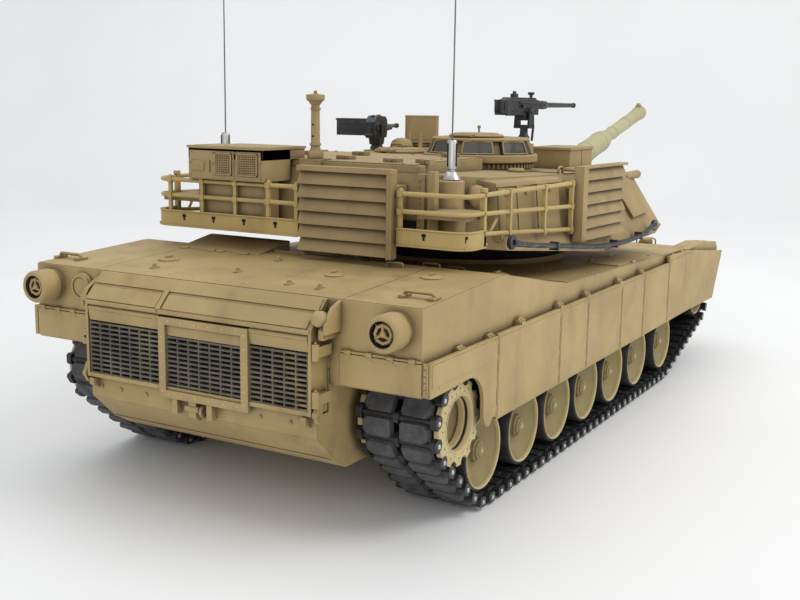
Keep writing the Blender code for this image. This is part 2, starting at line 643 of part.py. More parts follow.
def make_commander_hatch():
    x, y = CUPOLA[0] - 6, CUPOLA[1]
    profile = [(0, 170.8), (11, 170.6), (16.5, 169.6), (16.5, 168.4), (0, 168.4)]
    lid = turned("commander_hatch", profile, (x, y, 0), "Z", 20)
    hinge = box("hinge", (x - 20.5, x - 13), (y - 6, y + 6), (168.4, 170.4))
    return union(lid, hinge)


def aimed(piece):
    """Swing the commander's gun to its rest direction."""
    return tilt(piece, MG_PIVOT, "Z", MG_YAW)


def make_gun_mount():
    x, y, z = MG_PIVOT
    post = rod("commander_gun_mount", (x, y, 163.8), (x, y, z - 9), 3.0, 12)
    yoke = box("yoke", (x - 3.2, x + 3.2), (y - 5.6, y + 5.6), (z - 10, z - 7.5))
    cheeks = [box("cheek", (x - 3.0, x + 3.0), (side, side + 1.7), (z - 8.5, z + 2.5))
              for side in (y - 5.6, y + 3.9)]
    return aimed(union(post, yoke, *cheeks))


def make_commander_gun():
    x, y, z = MG_PIVOT
    receiver = box("commander_machine_gun", (x - 27, x + 12), (y - 3.5, y + 3.5), (z - 2.0, z + 9.0))
    cradle = box("cradle", (x - 6, x + 5), (y - 3.5, y + 3.5), (z - 5.5, z + 2))
    jacket = rod("jacket", (x + 11, y, z + 4.5), (x + 27, y, z + 4.5), 2.6, 12)
    barrel = rod("barrel", (x + 25, y, z + 4.5), (x + 66, y, z + 4.5), 1.7, 10, 1.3)
    can = box("can", (x - 17, x - 4), (y + 2.5, y + 12.0), (z - 2.0, z + 7.5))
    grips = box("grips", (x - 32.5, x - 26), (y - 3, y + 3), (z - 1, z + 7.5))
    return aimed(union(receiver, cradle, jacket, barrel, can, grips))


def make_loader_hatch():
    x, y = LOADER_RING
    lid = turned("loader_hatch", [(0, 160.2), (15.5, 159.8), (16.5, 157.3), (0, 157.3)], (x, y, 0), "Z", 20)
    hinge = box("hinge", (x - 20.8, x - 14), (y - 5, y + 5), (157.8, 159.4))
    return union(lid, hinge)


def make_loader_gun():
    x, y = LOADER_GUN
    post = rod("loader_machine_gun", (x, y, 157.3), (x, y, 167), 2.6, 12)
    body = box("body", (x - 14, x + 12), (y - 5.5, y + 5.5), (164.5, 179.5))
    barrel = rod("barrel", (x + 11, y, 172), (x + 42, y, 172), 1.6, 10, 1.1)
    can = box("can", (x - 5, x + 7), (y + 4, y + 27), (166, 177.2))
    return tilt(union(post, body, barrel, can), (*LOADER_GUN, 0), "Z", LOADER_YAW)


def make_viewer():
    x, y = VIEWER
    neck = rod("panoramic_viewer", (x, y, 158.7), (x, y, 162), 10.8, 20)
    corners = ((11.5, 9.5), (9.5, 11.5), (-9.5, 11.5), (-11.5, 9.5), (-11.5, -9.5), (-9.5, -11.5),
               (9.5, -11.5), (11.5, -9.5))
    head = plate("head", [(x + forward, y + across) for forward, across in corners], 161, 179.4, "Z")
    return tilt(union(neck, head), (x, y, 0), "Z", VIEWER_YAW)


def make_antenna():
    x, y = ANTENNA
    profile = [(0, ANTENNA_TOP_Z), (0.35, ANTENNA_TOP_Z), (0.55, 170.0), (2.3, 170.0), (2.3, 155.5),
               (3.0, 154.6), (4.2, 151.1), (0, 151.1)]
    return turned("right_antenna", profile, (x, -y, 0), "Z", 12)


def make_wind_sensor():
    x, y = 97.0, 8.5
    profile = [(0, 193.6), (1.0, 193.6), (1.4, 191.8), (6.4, 191.0), (6.4, 187.5), (3.4, 184.5), (3.0, 163),
               (5.0, 160.5), (5.0, 158.9), (0, 158.9)]
    return turned("wind_sensor", profile, (x, y, 0), "Z", 14)


def make_tow_cable():
    """A steel cable clipped along the right cheek, with an eye at each end."""
    route = [(104, -102.6, 122.0), (120, -104.4, 119.4), (160, -106.6, 114.8), (200, -108.2, 110.4),
             (225, -108.8, 108.6), (260, -108.8, 107.6), (290, -108.6, 108.4), (312, -108.0, 111.6)]
    cable = tube("tow_cable", route, 1.6)
    ends = [rod("eye", (x, y - 1.4, z), (x, y + 1.4, z), 3.6, 12)
            for x, y, z in ((102, -102.4, 122.4), (315, -107.9, 112.2))]
    return union(cable, *ends)


def turret_parts():
    """Each piece, its finish, and the point that it turns on where it moves on its own."""
    cupola = (*CUPOLA, 153.8)
    right = make_antenna()
    return [
        (mirrored(right, "left_antenna"), "steel", (ANTENNA[0], ANTENNA[1], 151.1)),
        (right, "steel", (ANTENNA[0], -ANTENNA[1], 151.1)),
        (make_turret_shell(), "sand", (RING_X, 0, 102.9)),
        (make_turret_base(), "dark_sand", (RING_X, 0, 84)),
        (make_mantlet(), "sand", (TRUNNION_X, 0, TRUNNION_Z)),
        (make_barrel(), "gun_tan", (TRUNNION_X, 0, TRUNNION_Z)),
        (make_rack(), "rail_tan", (RING_X, 0, 120.8)),
        (make_equipment_box(), "sand", (85, 44, 146)),
        (make_cupola(), "sand", cupola),
        (make_commander_hatch(), "sand", (CUPOLA[0] - 26.5, CUPOLA[1], 169.4)),
        (make_gun_mount(), "gun_black", MG_PIVOT),
        (make_commander_gun(), "gun_black", MG_PIVOT),
        (make_loader_hatch(), "sand", (LOADER_RING[0] - 20, LOADER_RING[1], 158.4)),
        (make_loader_gun(), "gun_black", (*LOADER_GUN, 157.3)),
        (make_viewer(), "sand", (*VIEWER, 158.7)),
        (make_wind_sensor(), "rail_tan", (97.0, 8.5, 158.9)),
        (make_tow_cable(), "gun_black", (200, -107, 112)),
    ]


# ---------------------------------------------------------------- assembly

def main():
    global PARTS
    for old in list(bpy.data.objects):
        bpy.data.objects.remove(old, do_unlink=True)
    PARTS = bpy.data.collections.new("rc_tank")
    bpy.context.scene.collection.children.link(PARTS)
    material("sand", SAND, 0.72)
    material("dark_sand", DARK_SAND, 0.75)
    material("wheel_sand", (0.36, 0.30, 0.17), 0.6)
    material("rail_tan", (0.62, 0.48, 0.22), 0.65)
    material("gun_tan", (0.58, 0.54, 0.33), 0.6)
    material("track_black", BLACK, 0.6)
    material("gun_black", (0.05, 0.05, 0.055), 0.45)
    material("grille_dark", (0.12, 0.11, 0.10), 0.6)
    material("steel", (0.7, 0.7, 0.7), 0.3, 0.9)
    material("motor_steel", (0.4, 0.4, 0.42), 0.4, 0.8)
    material("battery_blue", (0.05, 0.15, 0.4), 0.5)
    material("board_green", (0.03, 0.25, 0.08), 0.5)

    model = bpy.data.objects.new("model_origin", None)
    PARTS.objects.link(model)
    turret = bpy.data.objects.new("turret_axis", None)
    PARTS.objects.link(turret)
    turret.location = (RING_X * MM, 0, 0)
    turret.parent = model

    for piece in running_gear() + hull_parts() + inner_parts():
        piece.parent = model
    for piece, finish_name, pivot in turret_parts():
        finish(piece, finish_name, pivot)
        piece.parent = turret
        piece.location -= turret.location
    model.location = (-ORIGIN_X * MM, 0, 0)


main()
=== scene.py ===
"""The looks of a radio-controlled scale model tank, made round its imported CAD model.

Sizes are in millimetres from the rear face of the hull's side sponsons: x runs forward, y to the left and
z up from the ground. REAR carries them into the frame, in metres.
"""

import json
import math

import bmesh
import bpy
from mathutils import Matrix, Vector


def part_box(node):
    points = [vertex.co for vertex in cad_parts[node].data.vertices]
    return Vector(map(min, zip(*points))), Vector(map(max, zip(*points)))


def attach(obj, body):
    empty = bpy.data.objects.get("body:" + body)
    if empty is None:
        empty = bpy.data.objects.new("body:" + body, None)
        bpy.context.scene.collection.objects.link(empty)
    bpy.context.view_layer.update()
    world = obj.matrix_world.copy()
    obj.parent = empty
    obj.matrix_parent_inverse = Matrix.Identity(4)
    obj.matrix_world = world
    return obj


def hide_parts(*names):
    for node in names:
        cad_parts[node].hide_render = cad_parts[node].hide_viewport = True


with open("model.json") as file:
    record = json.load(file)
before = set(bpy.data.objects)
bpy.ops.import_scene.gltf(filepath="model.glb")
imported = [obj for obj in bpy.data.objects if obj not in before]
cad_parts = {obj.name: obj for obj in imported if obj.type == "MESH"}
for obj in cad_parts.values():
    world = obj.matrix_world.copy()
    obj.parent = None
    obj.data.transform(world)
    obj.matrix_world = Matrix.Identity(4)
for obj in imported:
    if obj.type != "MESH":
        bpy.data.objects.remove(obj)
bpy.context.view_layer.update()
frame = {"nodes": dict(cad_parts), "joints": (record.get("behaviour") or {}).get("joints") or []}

MM = 0.001
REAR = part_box("lower_hull")[0].x + 14.0 * MM
TRACK_Y = 88.9
PINS = {joint["name"]: joint["pos_m"] for joint in frame["joints"]}


def local(point):
    """A point of the frame, in millimetres from the sponsons' rear face."""
    return ((point[0] - REAR) / MM, point[1] / MM, point[2] / MM)


SPROCKET = local(PINS["right_drive"])
IDLER = local(PINS["right_idler_spin"])
WHEELS = [local(PINS[f"right_wheel_spin_{i}"]) for i in range(1, 8)]
TRUNNION = local(PINS["gun_elevation"])
RING = local(PINS["turret_traverse"])
MG_PIVOT = local(PINS["commander_gun_elevation"])
LOADER_GUN = local(PINS["loader_gun_traverse"])
VIEWER = local(PINS["viewer_rotation"])
COMMANDER_HINGE = local(PINS["commander_hatch_hinge"])
LOADER_HINGE = local(PINS["loader_hatch_hinge"])
GUN_ELEVATION = 13.1            # degrees above level, as the model stands
MG_YAW = -7.0
VIEWER_YAW = 29.0
LOADER_YAW = 12.0

# ---------------------------------------------------------------- mesh making


def frame_along(direction):
    """A rotation that turns +Z to a direction."""
    return Vector((0, 0, 1)).rotation_difference(Vector(direction)).to_matrix().to_4x4()


AXES = {
    "X": lambda u, v, w: (w, u, v),      # outline in (y, z)
    "Y": lambda u, v, w: (u, w, v),      # outline in (x, z)
    "Z": lambda u, v, w: (u, v, w),      # outline in (x, y)
}


class Kit:
    def __init__(self, place=None):
        self.bm = bmesh.new()
        self.place = place or Matrix.Identity(4)

    def solid(self, points, faces, paint=0):
        made = [self.bm.verts.new(self.place @ Vector(p)) for p in points]
        for corners in faces:
            face = self.bm.faces.new([made[i] for i in corners])
            face.material_index = paint

    def prism(self, outline, low, high, axis="Z", paint=0):
        """An outline extruded from low to high along an axis."""
        turn = AXES[axis]
        n = len(outline)
        points = [turn(u, v, low) for u, v in outline] + [turn(u, v, high) for u, v in outline]
        sides = [(i, (i + 1) % n, n + (i + 1) % n, n + i) for i in range(n)]
        self.solid(points, [tuple(range(n))[::-1], tuple(range(n, 2 * n))] + sides, paint)

    def box(self, x, y, z, paint=0):
        x, y, z = sorted(x), sorted(y), sorted(z)
        self.prism([(x[0], y[0]), (x[1], y[0]), (x[1], y[1]), (x[0], y[1])], z[0], z[1], "Z", paint)

    def loft(self, lower, upper, paint=0):
        """A solid between two outlines with the same number of points."""
        n = len(lower)
        sides = [(i, (i + 1) % n, n + (i + 1) % n, n + i) for i in range(n)]
        self.solid(list(lower) + list(upper), [tuple(range(n))[::-1], tuple(range(n, 2 * n))] + sides,
                   paint)

    def lathe(self, profile, centre, axis=(0, 0, 1), sides=32, paint=0):
        """A profile of (radius, height) points turned about an axis. It closes on itself off the axis."""
        spin = Matrix.Translation(centre) @ frame_along(axis)
        points, rows = [], []
        for radius, height in profile:
            if radius < 1e-6:
                rows.append([len(points)] * sides)
                points.append(spin @ Vector((0, 0, height)))
                continue
            rows.append(list(range(len(points), len(points) + sides)))
            for k in range(sides):
                angle = 2 * math.pi * k / sides
                points.append(spin @ Vector((radius * math.cos(angle), radius * math.sin(angle), height)))
        loop = profile[0][0] > 1e-6
        faces = []
        for a, b in zip(rows, rows[1:] + rows[:1] if loop else rows[1:]):
            for k in range(sides):
                j = (k + 1) % sides
                ring = []
                for corner in (a[k], a[j], b[j], b[k]):
                    if corner not in ring:
                        ring.append(corner)
                if len(ring) > 2:
                    faces.append(tuple(ring))
        self.solid(points, faces, paint)

    def rod(self, start, end, radius, end_radius=None, sides=20, paint=0):
        run = Vector(end) - Vector(start)
        last = radius if end_radius is None else end_radius
        self.lathe([(0, 0), (radius, 0), (last, run.length), (0, run.length)], start, run, sides, paint)

    def ball(self, centre, radius, paint=0, sides=16, squash=1.0):
        steps = sides // 2
        profile = [(radius * math.sin(math.pi * i / steps),
                    -radius * squash * math.cos(math.pi * i / steps))
                   for i in range(steps + 1)]
        profile[0] = (0, profile[0][1])
        profile[-1] = (0, profile[-1][1])
        self.lathe(profile, centre, (0, 0, 1), sides, paint)

    def sweep(self, path, radius, sides=10, paint=0, loop=False):
        """A round bar along a path."""
        path = [Vector(p) for p in path]
        n = len(path)
        normal = None
        points = []
        for i, p in enumerate(path):
            before = path[i - 1] if i or loop else p
            after = path[(i + 1) % n] if i < n - 1 or loop else p
            along = (after - before).normalized()
            if normal is None:
                normal = along.orthogonal().normalized()
            normal = (normal - along * normal.dot(along)).normalized()
            side = along.cross(normal)
            for k in range(sides):
                angle = 2 * math.pi * k / sides
                points.append(p + (normal * math.cos(angle) + side * math.sin(angle)) * radius)
        faces = []
        for i in range(n if loop else n - 1):
            a, b = i * sides, (i + 1) % n * sides
            for k in range(sides):
                j = (k + 1) % sides
                faces.append((a + k, a + j, b + j, b + k))
        if not loop:
            faces.append(tuple(range(sides))[::-1])
            faces.append(tuple(range((n - 1) * sides, n * sides)))
        self.solid(points, faces, paint)

    def bolt(self, place, normal, radius, height, sides=6, paint=0):
        """A hexagon head on a washer."""
        self.lathe([(0, height), (radius * 0.82, height), (radius, height * 0.75), (radius, height * 0.3),
                    (radius * 1.35, height * 0.3), (radius * 1.35, -0.2),
                    (0, -0.2)], place, normal, sides, paint)

    def rivet(self, place, normal, radius, paint=0):
        self.lathe([(0, radius * 0.6), (radius * 0.6, radius * 0.5), (radius, 0), (radius, -0.2),
                    (0, -0.2)],
                   place, normal, 10, paint)

    def done(self, name, body, slot, paints, bevel=0.0, replaces=(), place=None):
        bmesh.ops.recalc_face_normals(self.bm, faces=self.bm.faces[:])
        shift = Matrix.Identity(4) if place is not None else Matrix.Translation((REAR, 0, 0))
        bmesh.ops.transform(self.bm, matrix=shift @ Matrix.Scale(MM, 4), verts=self.bm.verts[:])
        mesh = bpy.data.meshes.new(name)
        self.bm.to_mesh(mesh)
        self.bm.free()
        for paint in paints:
            mesh.materials.append(paint)
        piece = bpy.data.objects.new(name, mesh)
        bpy.context.scene.collection.objects.link(piece)
        if place is not None:
            piece.matrix_world = place
        soften(piece, bevel)
        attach(piece, body)
        if replaces:
            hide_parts(*replaces)
        return piece


def soften(piece, bevel, weld=False):
    """Small rounded edges and smooth shading."""
    if weld:
        step = piece.modifiers.new("weld", "WELD")
        step.merge_threshold = 0.00001
    if bevel:
        step = piece.modifiers.new("rounded", "BEVEL")
        step.width = bevel * MM
        step.segments = 2
        step.limit_method = "ANGLE"
        step.angle_limit = math.radians(38)
        step.harden_normals = True
        step.use_clamp_overlap = True
    if not weld:
        piece.data.shade_smooth()
        piece.data.set_sharp_from_angle(angle=math.radians(38))


def rounded(points, radius, steps=5, closed=False):
    """A path with its corners turned into arcs."""
    points = [Vector(p) for p in points]
    n = len(points)
    path = []
    for i, p in enumerate(points):
        if not closed and i in (0, n - 1):
            path.append(p)
            continue
        to_last = points[i - 1] - p
        to_next = points[(i + 1) % n] - p
        reach = min(radius, to_last.length * 0.45, to_next.length * 0.45)
        a = p + to_last.normalized() * reach
        b = p + to_next.normalized() * reach
        for k in range(steps + 1):
            t = k / steps
            path.append(a.lerp(p, t).lerp(p.lerp(b, t), t))
    return path


# ---------------------------------------------------------------- materials


class Shader:
    """A Principled material whose colour, roughness and bump come from nodes in the piece's own space."""

    def __init__(self, name, roughness=0.7, metallic=0.0):
        self.material = bpy.data.materials.new(name)
        self.material.use_nodes = True
        self.tree = self.material.node_tree
        self.shader = self.tree.nodes["Principled BSDF"]
        self.shader.inputs["Roughness"].default_value = roughness
        self.shader.inputs["Metallic"].default_value = metallic
        self.place = self.node("ShaderNodeTexCoord").outputs["Object"]
        self.heights = []

    def node(self, kind, **values):
        made = self.tree.nodes.new(kind)
        for key, value in values.items():
            setattr(made, key, value)
        return made

    def link(self, source, target):
        self.tree.links.new(source, target)

    def noise(self, scale, detail=4.0, rough=0.55, stretch=(1, 1, 1), shift=0.0):
        mapping = self.node("ShaderNodeMapping")
        mapping.inputs["Scale"].default_value = stretch
        mapping.inputs["Location"].default_value = (shift, shift * 0.7, -shift)
        self.link(self.place, mapping.inputs["Vector"])
        made = self.node("ShaderNodeTexNoise")
        made.inputs["Scale"].default_value = scale
        made.inputs["Detail"].default_value = detail
        made.inputs["Roughness"].default_value = rough
        self.link(mapping.outputs["Vector"], made.inputs["Vector"])
        return made.outputs["Fac"]

    def band(self, source, low, high, out_low=0.0, out_high=1.0):
        """The source, stretched so that low to high gives out_low to out_high."""
        made = self.node("ShaderNodeMapRange", interpolation_type="SMOOTHSTEP")
        for key, value in (("From Min", low), ("From Max", high), ("To Min", out_low),
                           ("To Max", out_high)):
            made.inputs[key].default_value = value
        self.link(source, made.inputs["Value"])
        return made.outputs["Result"]

    def times(self, a, b):
        made = self.node("ShaderNodeMath", operation="MULTIPLY")
        self.link(a, made.inputs[0])
        if isinstance(b, float):
            made.inputs[1].default_value = b
        else:
            self.link(b, made.inputs[1])
        return made.outputs[0]

    def mix(self, factor, a, b):
        made = self.node("ShaderNodeMix", data_type="RGBA")
        for source, target in ((factor, made.inputs["Factor"]), (a, made.inputs["A"]),
                               (b, made.inputs["B"])):
            if isinstance(source, (tuple, float)):
                target.default_value = (*source, 1.0) if isinstance(source, tuple) else source
            else:
                self.link(source, target)
        return made.outputs["Result"]

    def crevice(self, reach):
        """1 in corners and grooves, 0 on open faces."""
        made = self.node("ShaderNodeAmbientOcclusion", samples=6, only_local=False)
        made.inputs["Distance"].default_value = reach * MM
        return self.band(made.outputs["AO"], 0.35, 0.95, 1.0, 0.0)

    def edge(self, width):
        """1 along the sharp edges."""
        soft = self.node("ShaderNodeBevel", samples=4)
        soft.inputs["Radius"].default_value = width * MM
        geometry = self.node("ShaderNodeNewGeometry")
        dot = self.node("ShaderNodeVectorMath", operation="DOT_PRODUCT")
        self.link(soft.outputs["Normal"], dot.inputs[0])
        self.link(geometry.outputs["Normal"], dot.inputs[1])
        return self.band(dot.outputs["Value"], 0.80, 0.985, 1.0, 0.0)

    def height(self, source, distance, strength=1.0):
        made = self.node("ShaderNodeBump")
        made.inputs["Strength"].default_value = strength
        made.inputs["Distance"].default_value = distance * MM
        self.link(source, made.inputs["Height"])
        if self.heights:
            self.link(self.heights[-1], made.inputs["Normal"])
        self.heights.append(made.outputs["Normal"])

    def done(self, colour, roughness=None):
        if isinstance(colour, tuple):
            self.shader.inputs["Base Color"].default_value = (*colour, 1.0)
        else:
            self.link(colour, self.shader.inputs["Base Color"])
        if roughness is not None:
            self.link(roughness, self.shader.inputs["Roughness"])
        if self.heights:
            self.link(self.heights[-1], self.shader.inputs["Normal"])
        return self.material


def field_paint(name, colour, light, dark, grit=0.04, grit_scale=2200.0, soot=0.0, wear=0.5,
                roughness=0.62):
    """Sprayed model paint: cloudy tone, painted shade that darkens the corners and grooves towards brown,
    paler worn edges and a fine grit.
    """
    s = Shader(name, roughness)
    base = s.mix(s.band(s.noise(22.0, 5.0), 0.35, 0.68), colour, light)
    streak = s.band(s.noise(38.0, 6.0, 0.62, (1, 1, 0.35), 3.1), 0.50, 0.76, 0.0, 0.55)
    base = s.mix(streak, base, dark)
    speck = s.band(s.noise(1500.0, 2.0, 0.5, shift=1.7), 0.62, 0.74, 0.0, 0.22)
    base = s.mix(speck, base, dark)
    stain = s.band(s.noise(17.0, 7.0, 0.68, shift=7.7), 0.56 - soot * 0.15, 0.78 - soot * 0.15, 0.0,
                   0.35 + soot)
    base = s.mix(stain, base, tuple(c * 0.45 for c in dark))
    # Painted shade: ambient occlusion darkens the corners and grooves towards a deep brown.
    corner_shade = s.times(s.crevice(6.0), 0.85)
    base = s.mix(corner_shade, base, tuple(c * 0.42 for c in dark))
    chip = s.times(s.edge(0.45), s.band(s.noise(260.0, 4.0, 0.6, shift=5.0), 0.42, 0.62, 0.0, wear))
    base = s.mix(chip, base, tuple(min(1.0, c * 1.35) for c in light))
    s.height(s.noise(grit_scale, 3.0, 0.6), grit)
    s.height(s.noise(300.0, 3.0, 0.5), grit * 0.5)
    shine = s.band(s.noise(60.0, 4.0, 0.6, shift=2.0), 0.3, 0.7, roughness - 0.07, roughness + 0.08)
    return s.done(base, shine)


SAND = (0.385, 0.277, 0.120)
SAND_LIGHT = (0.47, 0.343, 0.150)
SAND_DARK = (0.25, 0.160, 0.070)

hull_paint = field_paint("sand_hull", SAND, SAND_LIGHT, SAND_DARK, grit=0.02, soot=0.10)
turret_paint = field_paint("sand_turret_grit", (0.345, 0.246, 0.110), (0.41, 0.30, 0.145),
                           (0.22, 0.14, 0.065),
                           grit=0.10, grit_scale=1700.0, soot=0.05, roughness=0.72)
rail_paint = field_paint("sand_rail", (0.46, 0.335, 0.125), (0.53, 0.395, 0.16), (0.30, 0.19, 0.06),
                         grit=0.015)
wheel_paint = field_paint("sand_wheel", (0.24, 0.185, 0.070), (0.31, 0.245, 0.105), (0.13, 0.095, 0.035),
                          grit=0.02, soot=0.12, wear=0.8, roughness=0.55)
rim_paint = field_paint("sand_rim", (0.54, 0.43, 0.20), (0.62, 0.51, 0.27), (0.32, 0.23, 0.10), grit=0.02,
                        wear=0.6, roughness=0.55)
barrel_paint = field_paint("sand_barrel", (0.40, 0.37, 0.20), (0.46, 0.43, 0.25), (0.28, 0.25, 0.13),
                           grit=0.03)
# A darker copy of the turret sand for the rear louvres: painted shade on the rear-facing side.
rear_shade_sand = field_paint("sand_louvre_rear_shade", (0.32, 0.222, 0.098), (0.385, 0.27, 0.125), (0.20, 0.125, 0.055),
                           grit=0.03, soot=0.08)


def grey_rubber():
    s = Shader("track_pad_rubber", 0.75)
    base = s.mix(s.band(s.noise(160.0, 6.0, 0.65), 0.3, 0.7), (0.050, 0.050, 0.052), (0.105, 0.105, 0.108))
    base = s.mix(s.band(s.noise(1200.0, 3.0, 0.6), 0.55, 0.7, 0.0, 0.5), base, (0.028, 0.028, 0.030))
    s.height(s.noise(1500.0, 4.0, 0.7), 0.06)
    return s.done(base, s.band(s.noise(90.0, 4.0), 0.3, 0.7, 0.62, 0.85))


def black_plastic(name, colour=(0.012, 0.012, 0.014), light=(0.035, 0.035, 0.038), roughness=0.42):
    s = Shader(name, roughness)
    base = s.mix(s.band(s.noise(120.0, 5.0, 0.6), 0.35, 0.75), colour, light)
    # Painted highlight: all sharp edges are evenly lightened.
    base = s.mix(s.times(s.edge(0.3), 0.65), base, tuple(min(1.0, c * 4.5) for c in light))
    s.height(s.noise(1400.0, 3.0, 0.6), 0.02)
    return s.done(base, s.band(s.noise(70.0, 4.0), 0.3, 0.7, roughness - 0.08, roughness + 0.14))


def bright_steel(name="bright_steel", colour=(0.62, 0.61, 0.58), roughness=0.28):
    s = Shader(name, roughness, 1.0)
    base = s.mix(s.band(s.noise(400.0, 4.0, 0.6, (1, 1, 0.1)), 0.35, 0.7), colour,
                 tuple(c * 0.72 for c in colour))
    s.height(s.noise(1800.0, 2.0, 0.5, (1, 1, 0.05)), 0.01)
    return s.done(base, s.band(s.noise(140.0, 3.0), 0.3, 0.7, roughness - 0.05, roughness + 0.12))


def soot_grille():
    """Bars that the exhaust has blackened, with sand paint left near the right end."""
    s = Shader("soot_bars", 0.6)
    split = s.node("ShaderNodeSeparateXYZ")
    s.link(s.place, split.inputs[0])
    across = s.band(split.outputs["Y"], -62 * MM, -38 * MM, 0.85, 0.0)
    patch = s.times(across, s.band(s.noise(70.0, 5.0, 0.6), 0.35, 0.65))
    dusty = s.mix(s.band(s.noise(45.0, 5.0, 0.6), 0.35, 0.7), (0.085, 0.078, 0.060), (0.19, 0.165, 0.115))
    base = s.mix(patch, dusty, (0.38, 0.27, 0.12))
    # Painted highlight: the bars' sharp edges are evenly lightened.
    base = s.mix(s.times(s.edge(0.25), 0.4), base, (0.30, 0.27, 0.22))
    s.height(s.noise(1300.0, 3.0, 0.6), 0.03)
    return s.done(base, s.band(s.noise(80.0, 3.0), 0.3, 0.7, 0.5, 0.72))


def dark_glass(name, colour):
    s = Shader(name, 0.12)
    s.shader.inputs["Coat Weight"].default_value = 0.6
    return s.done(s.mix(s.band(s.noise(90.0, 3.0), 0.3, 0.7), colour, tuple(c * 1.6 for c in colour)),
                  s.band(s.noise(200.0, 3.0), 0.3, 0.7, 0.08, 0.2))


def plain_cad(name, colour, light, roughness, metallic=0.0, scale=60.0):
    s = Shader(name, roughness, metallic)
    s.height(s.noise(900.0, 3.0, 0.6), 0.03)
    return s.done(s.mix(s.band(s.noise(scale, 4.0), 0.35, 0.7), colour, light),
                  s.band(s.noise(50.0, 4.0), 0.3, 0.7, roughness - 0.06, roughness + 0.1))


pad_rubber = grey_rubber()
link_black = black_plastic("track_black")
gun_black = black_plastic("gun_black", (0.014, 0.014, 0.016), (0.040, 0.041, 0.046), 0.36)
tyre_black = black_plastic("tyre_black", (0.014, 0.013, 0.012), (0.040, 0.037, 0.033), 0.62)
# Near-black for painted shadow: holes, recesses, the turret ring and the space under the turret bustle.
shadow_black = plain_cad("deep_shadow", (0.006, 0.006, 0.006), (0.014, 0.013, 0.012), 0.85)
steel = bright_steel()
soot_bars = soot_grille()
sight_glass = dark_glass("sight_glass", (0.022, 0.020, 0.010))
whip_grey = plain_cad("whip_grey", (0.10, 0.095, 0.09), (0.16, 0.155, 0.15), 0.4, 0.4)
lamp_red = dark_glass("lamp_red", (0.22, 0.020, 0.012))
lamp_clear = dark_glass("lamp_clear", (0.30, 0.30, 0.27))
motor_steel = plain_cad("motor_steel", (0.36, 0.36, 0.38), (0.48, 0.48, 0.50), 0.35, 0.9)
battery_wrap = plain_cad("battery_wrap", (0.02, 0.09, 0.30), (0.03, 0.13, 0.40), 0.35)
board_green = plain_cad("board_green", (0.012, 0.12, 0.035), (0.02, 0.18, 0.05), 0.35, scale=300.0)

# ---------------------------------------------------------------- tracks


def belt_path(circles, offset):
    """The closed line of a belt pulled round circles (x, z, radius), and the length of each of its steps."""
    rim = []
    n = len(circles)
    turns = []
    for i in range(n):
        x0, z0, r0 = circles[i]
        x1, z1, r1 = circles[(i + 1) % n]
        run = math.hypot(x1 - x0, z1 - z0)
        heading = math.atan2(z1 - z0, x1 - x0)
        turns.append(heading + math.acos(max(-1.0, min(1.0, (r0 - r1) / run))))
    for i in range(n):
        x, z, r = circles[i]
        first, last = turns[i - 1], turns[i]
        sweep = (first - last) % (2 * math.pi)
        steps = max(2, int(sweep / math.radians(2.0)))
        for k in range(steps + 1):
            angle = first - sweep * k / steps
            rim.append(Vector((x + (r + offset) * math.cos(angle), z + (r + offset) * math.sin(angle))))
    lengths = [(rim[(i + 1) % len(rim)] - rim[i]).length for i in range(len(rim))]
    return rim, lengths


def along_belt(rim, lengths, distance):
    """The point at a distance along the belt and the belt's direction there."""
    total = sum(lengths)
    distance %= total
    for i, length in enumerate(lengths):
        if distance <= length and length > 0:
            a, b = rim[i], rim[(i + 1) % len(rim)]
            return a.lerp(b, distance / length), (b - a).normalized()
        distance -= length
    return rim[0], (rim[1] - rim[0]).normalized()


SPROCKET_BELT = 16.15           # radius of the belt's inner face round the sprocket
LINK_THICK = 6.6
PIN_OFFSET = LINK_THICK / 2 + 0.25
LINK_PITCH = 10.3


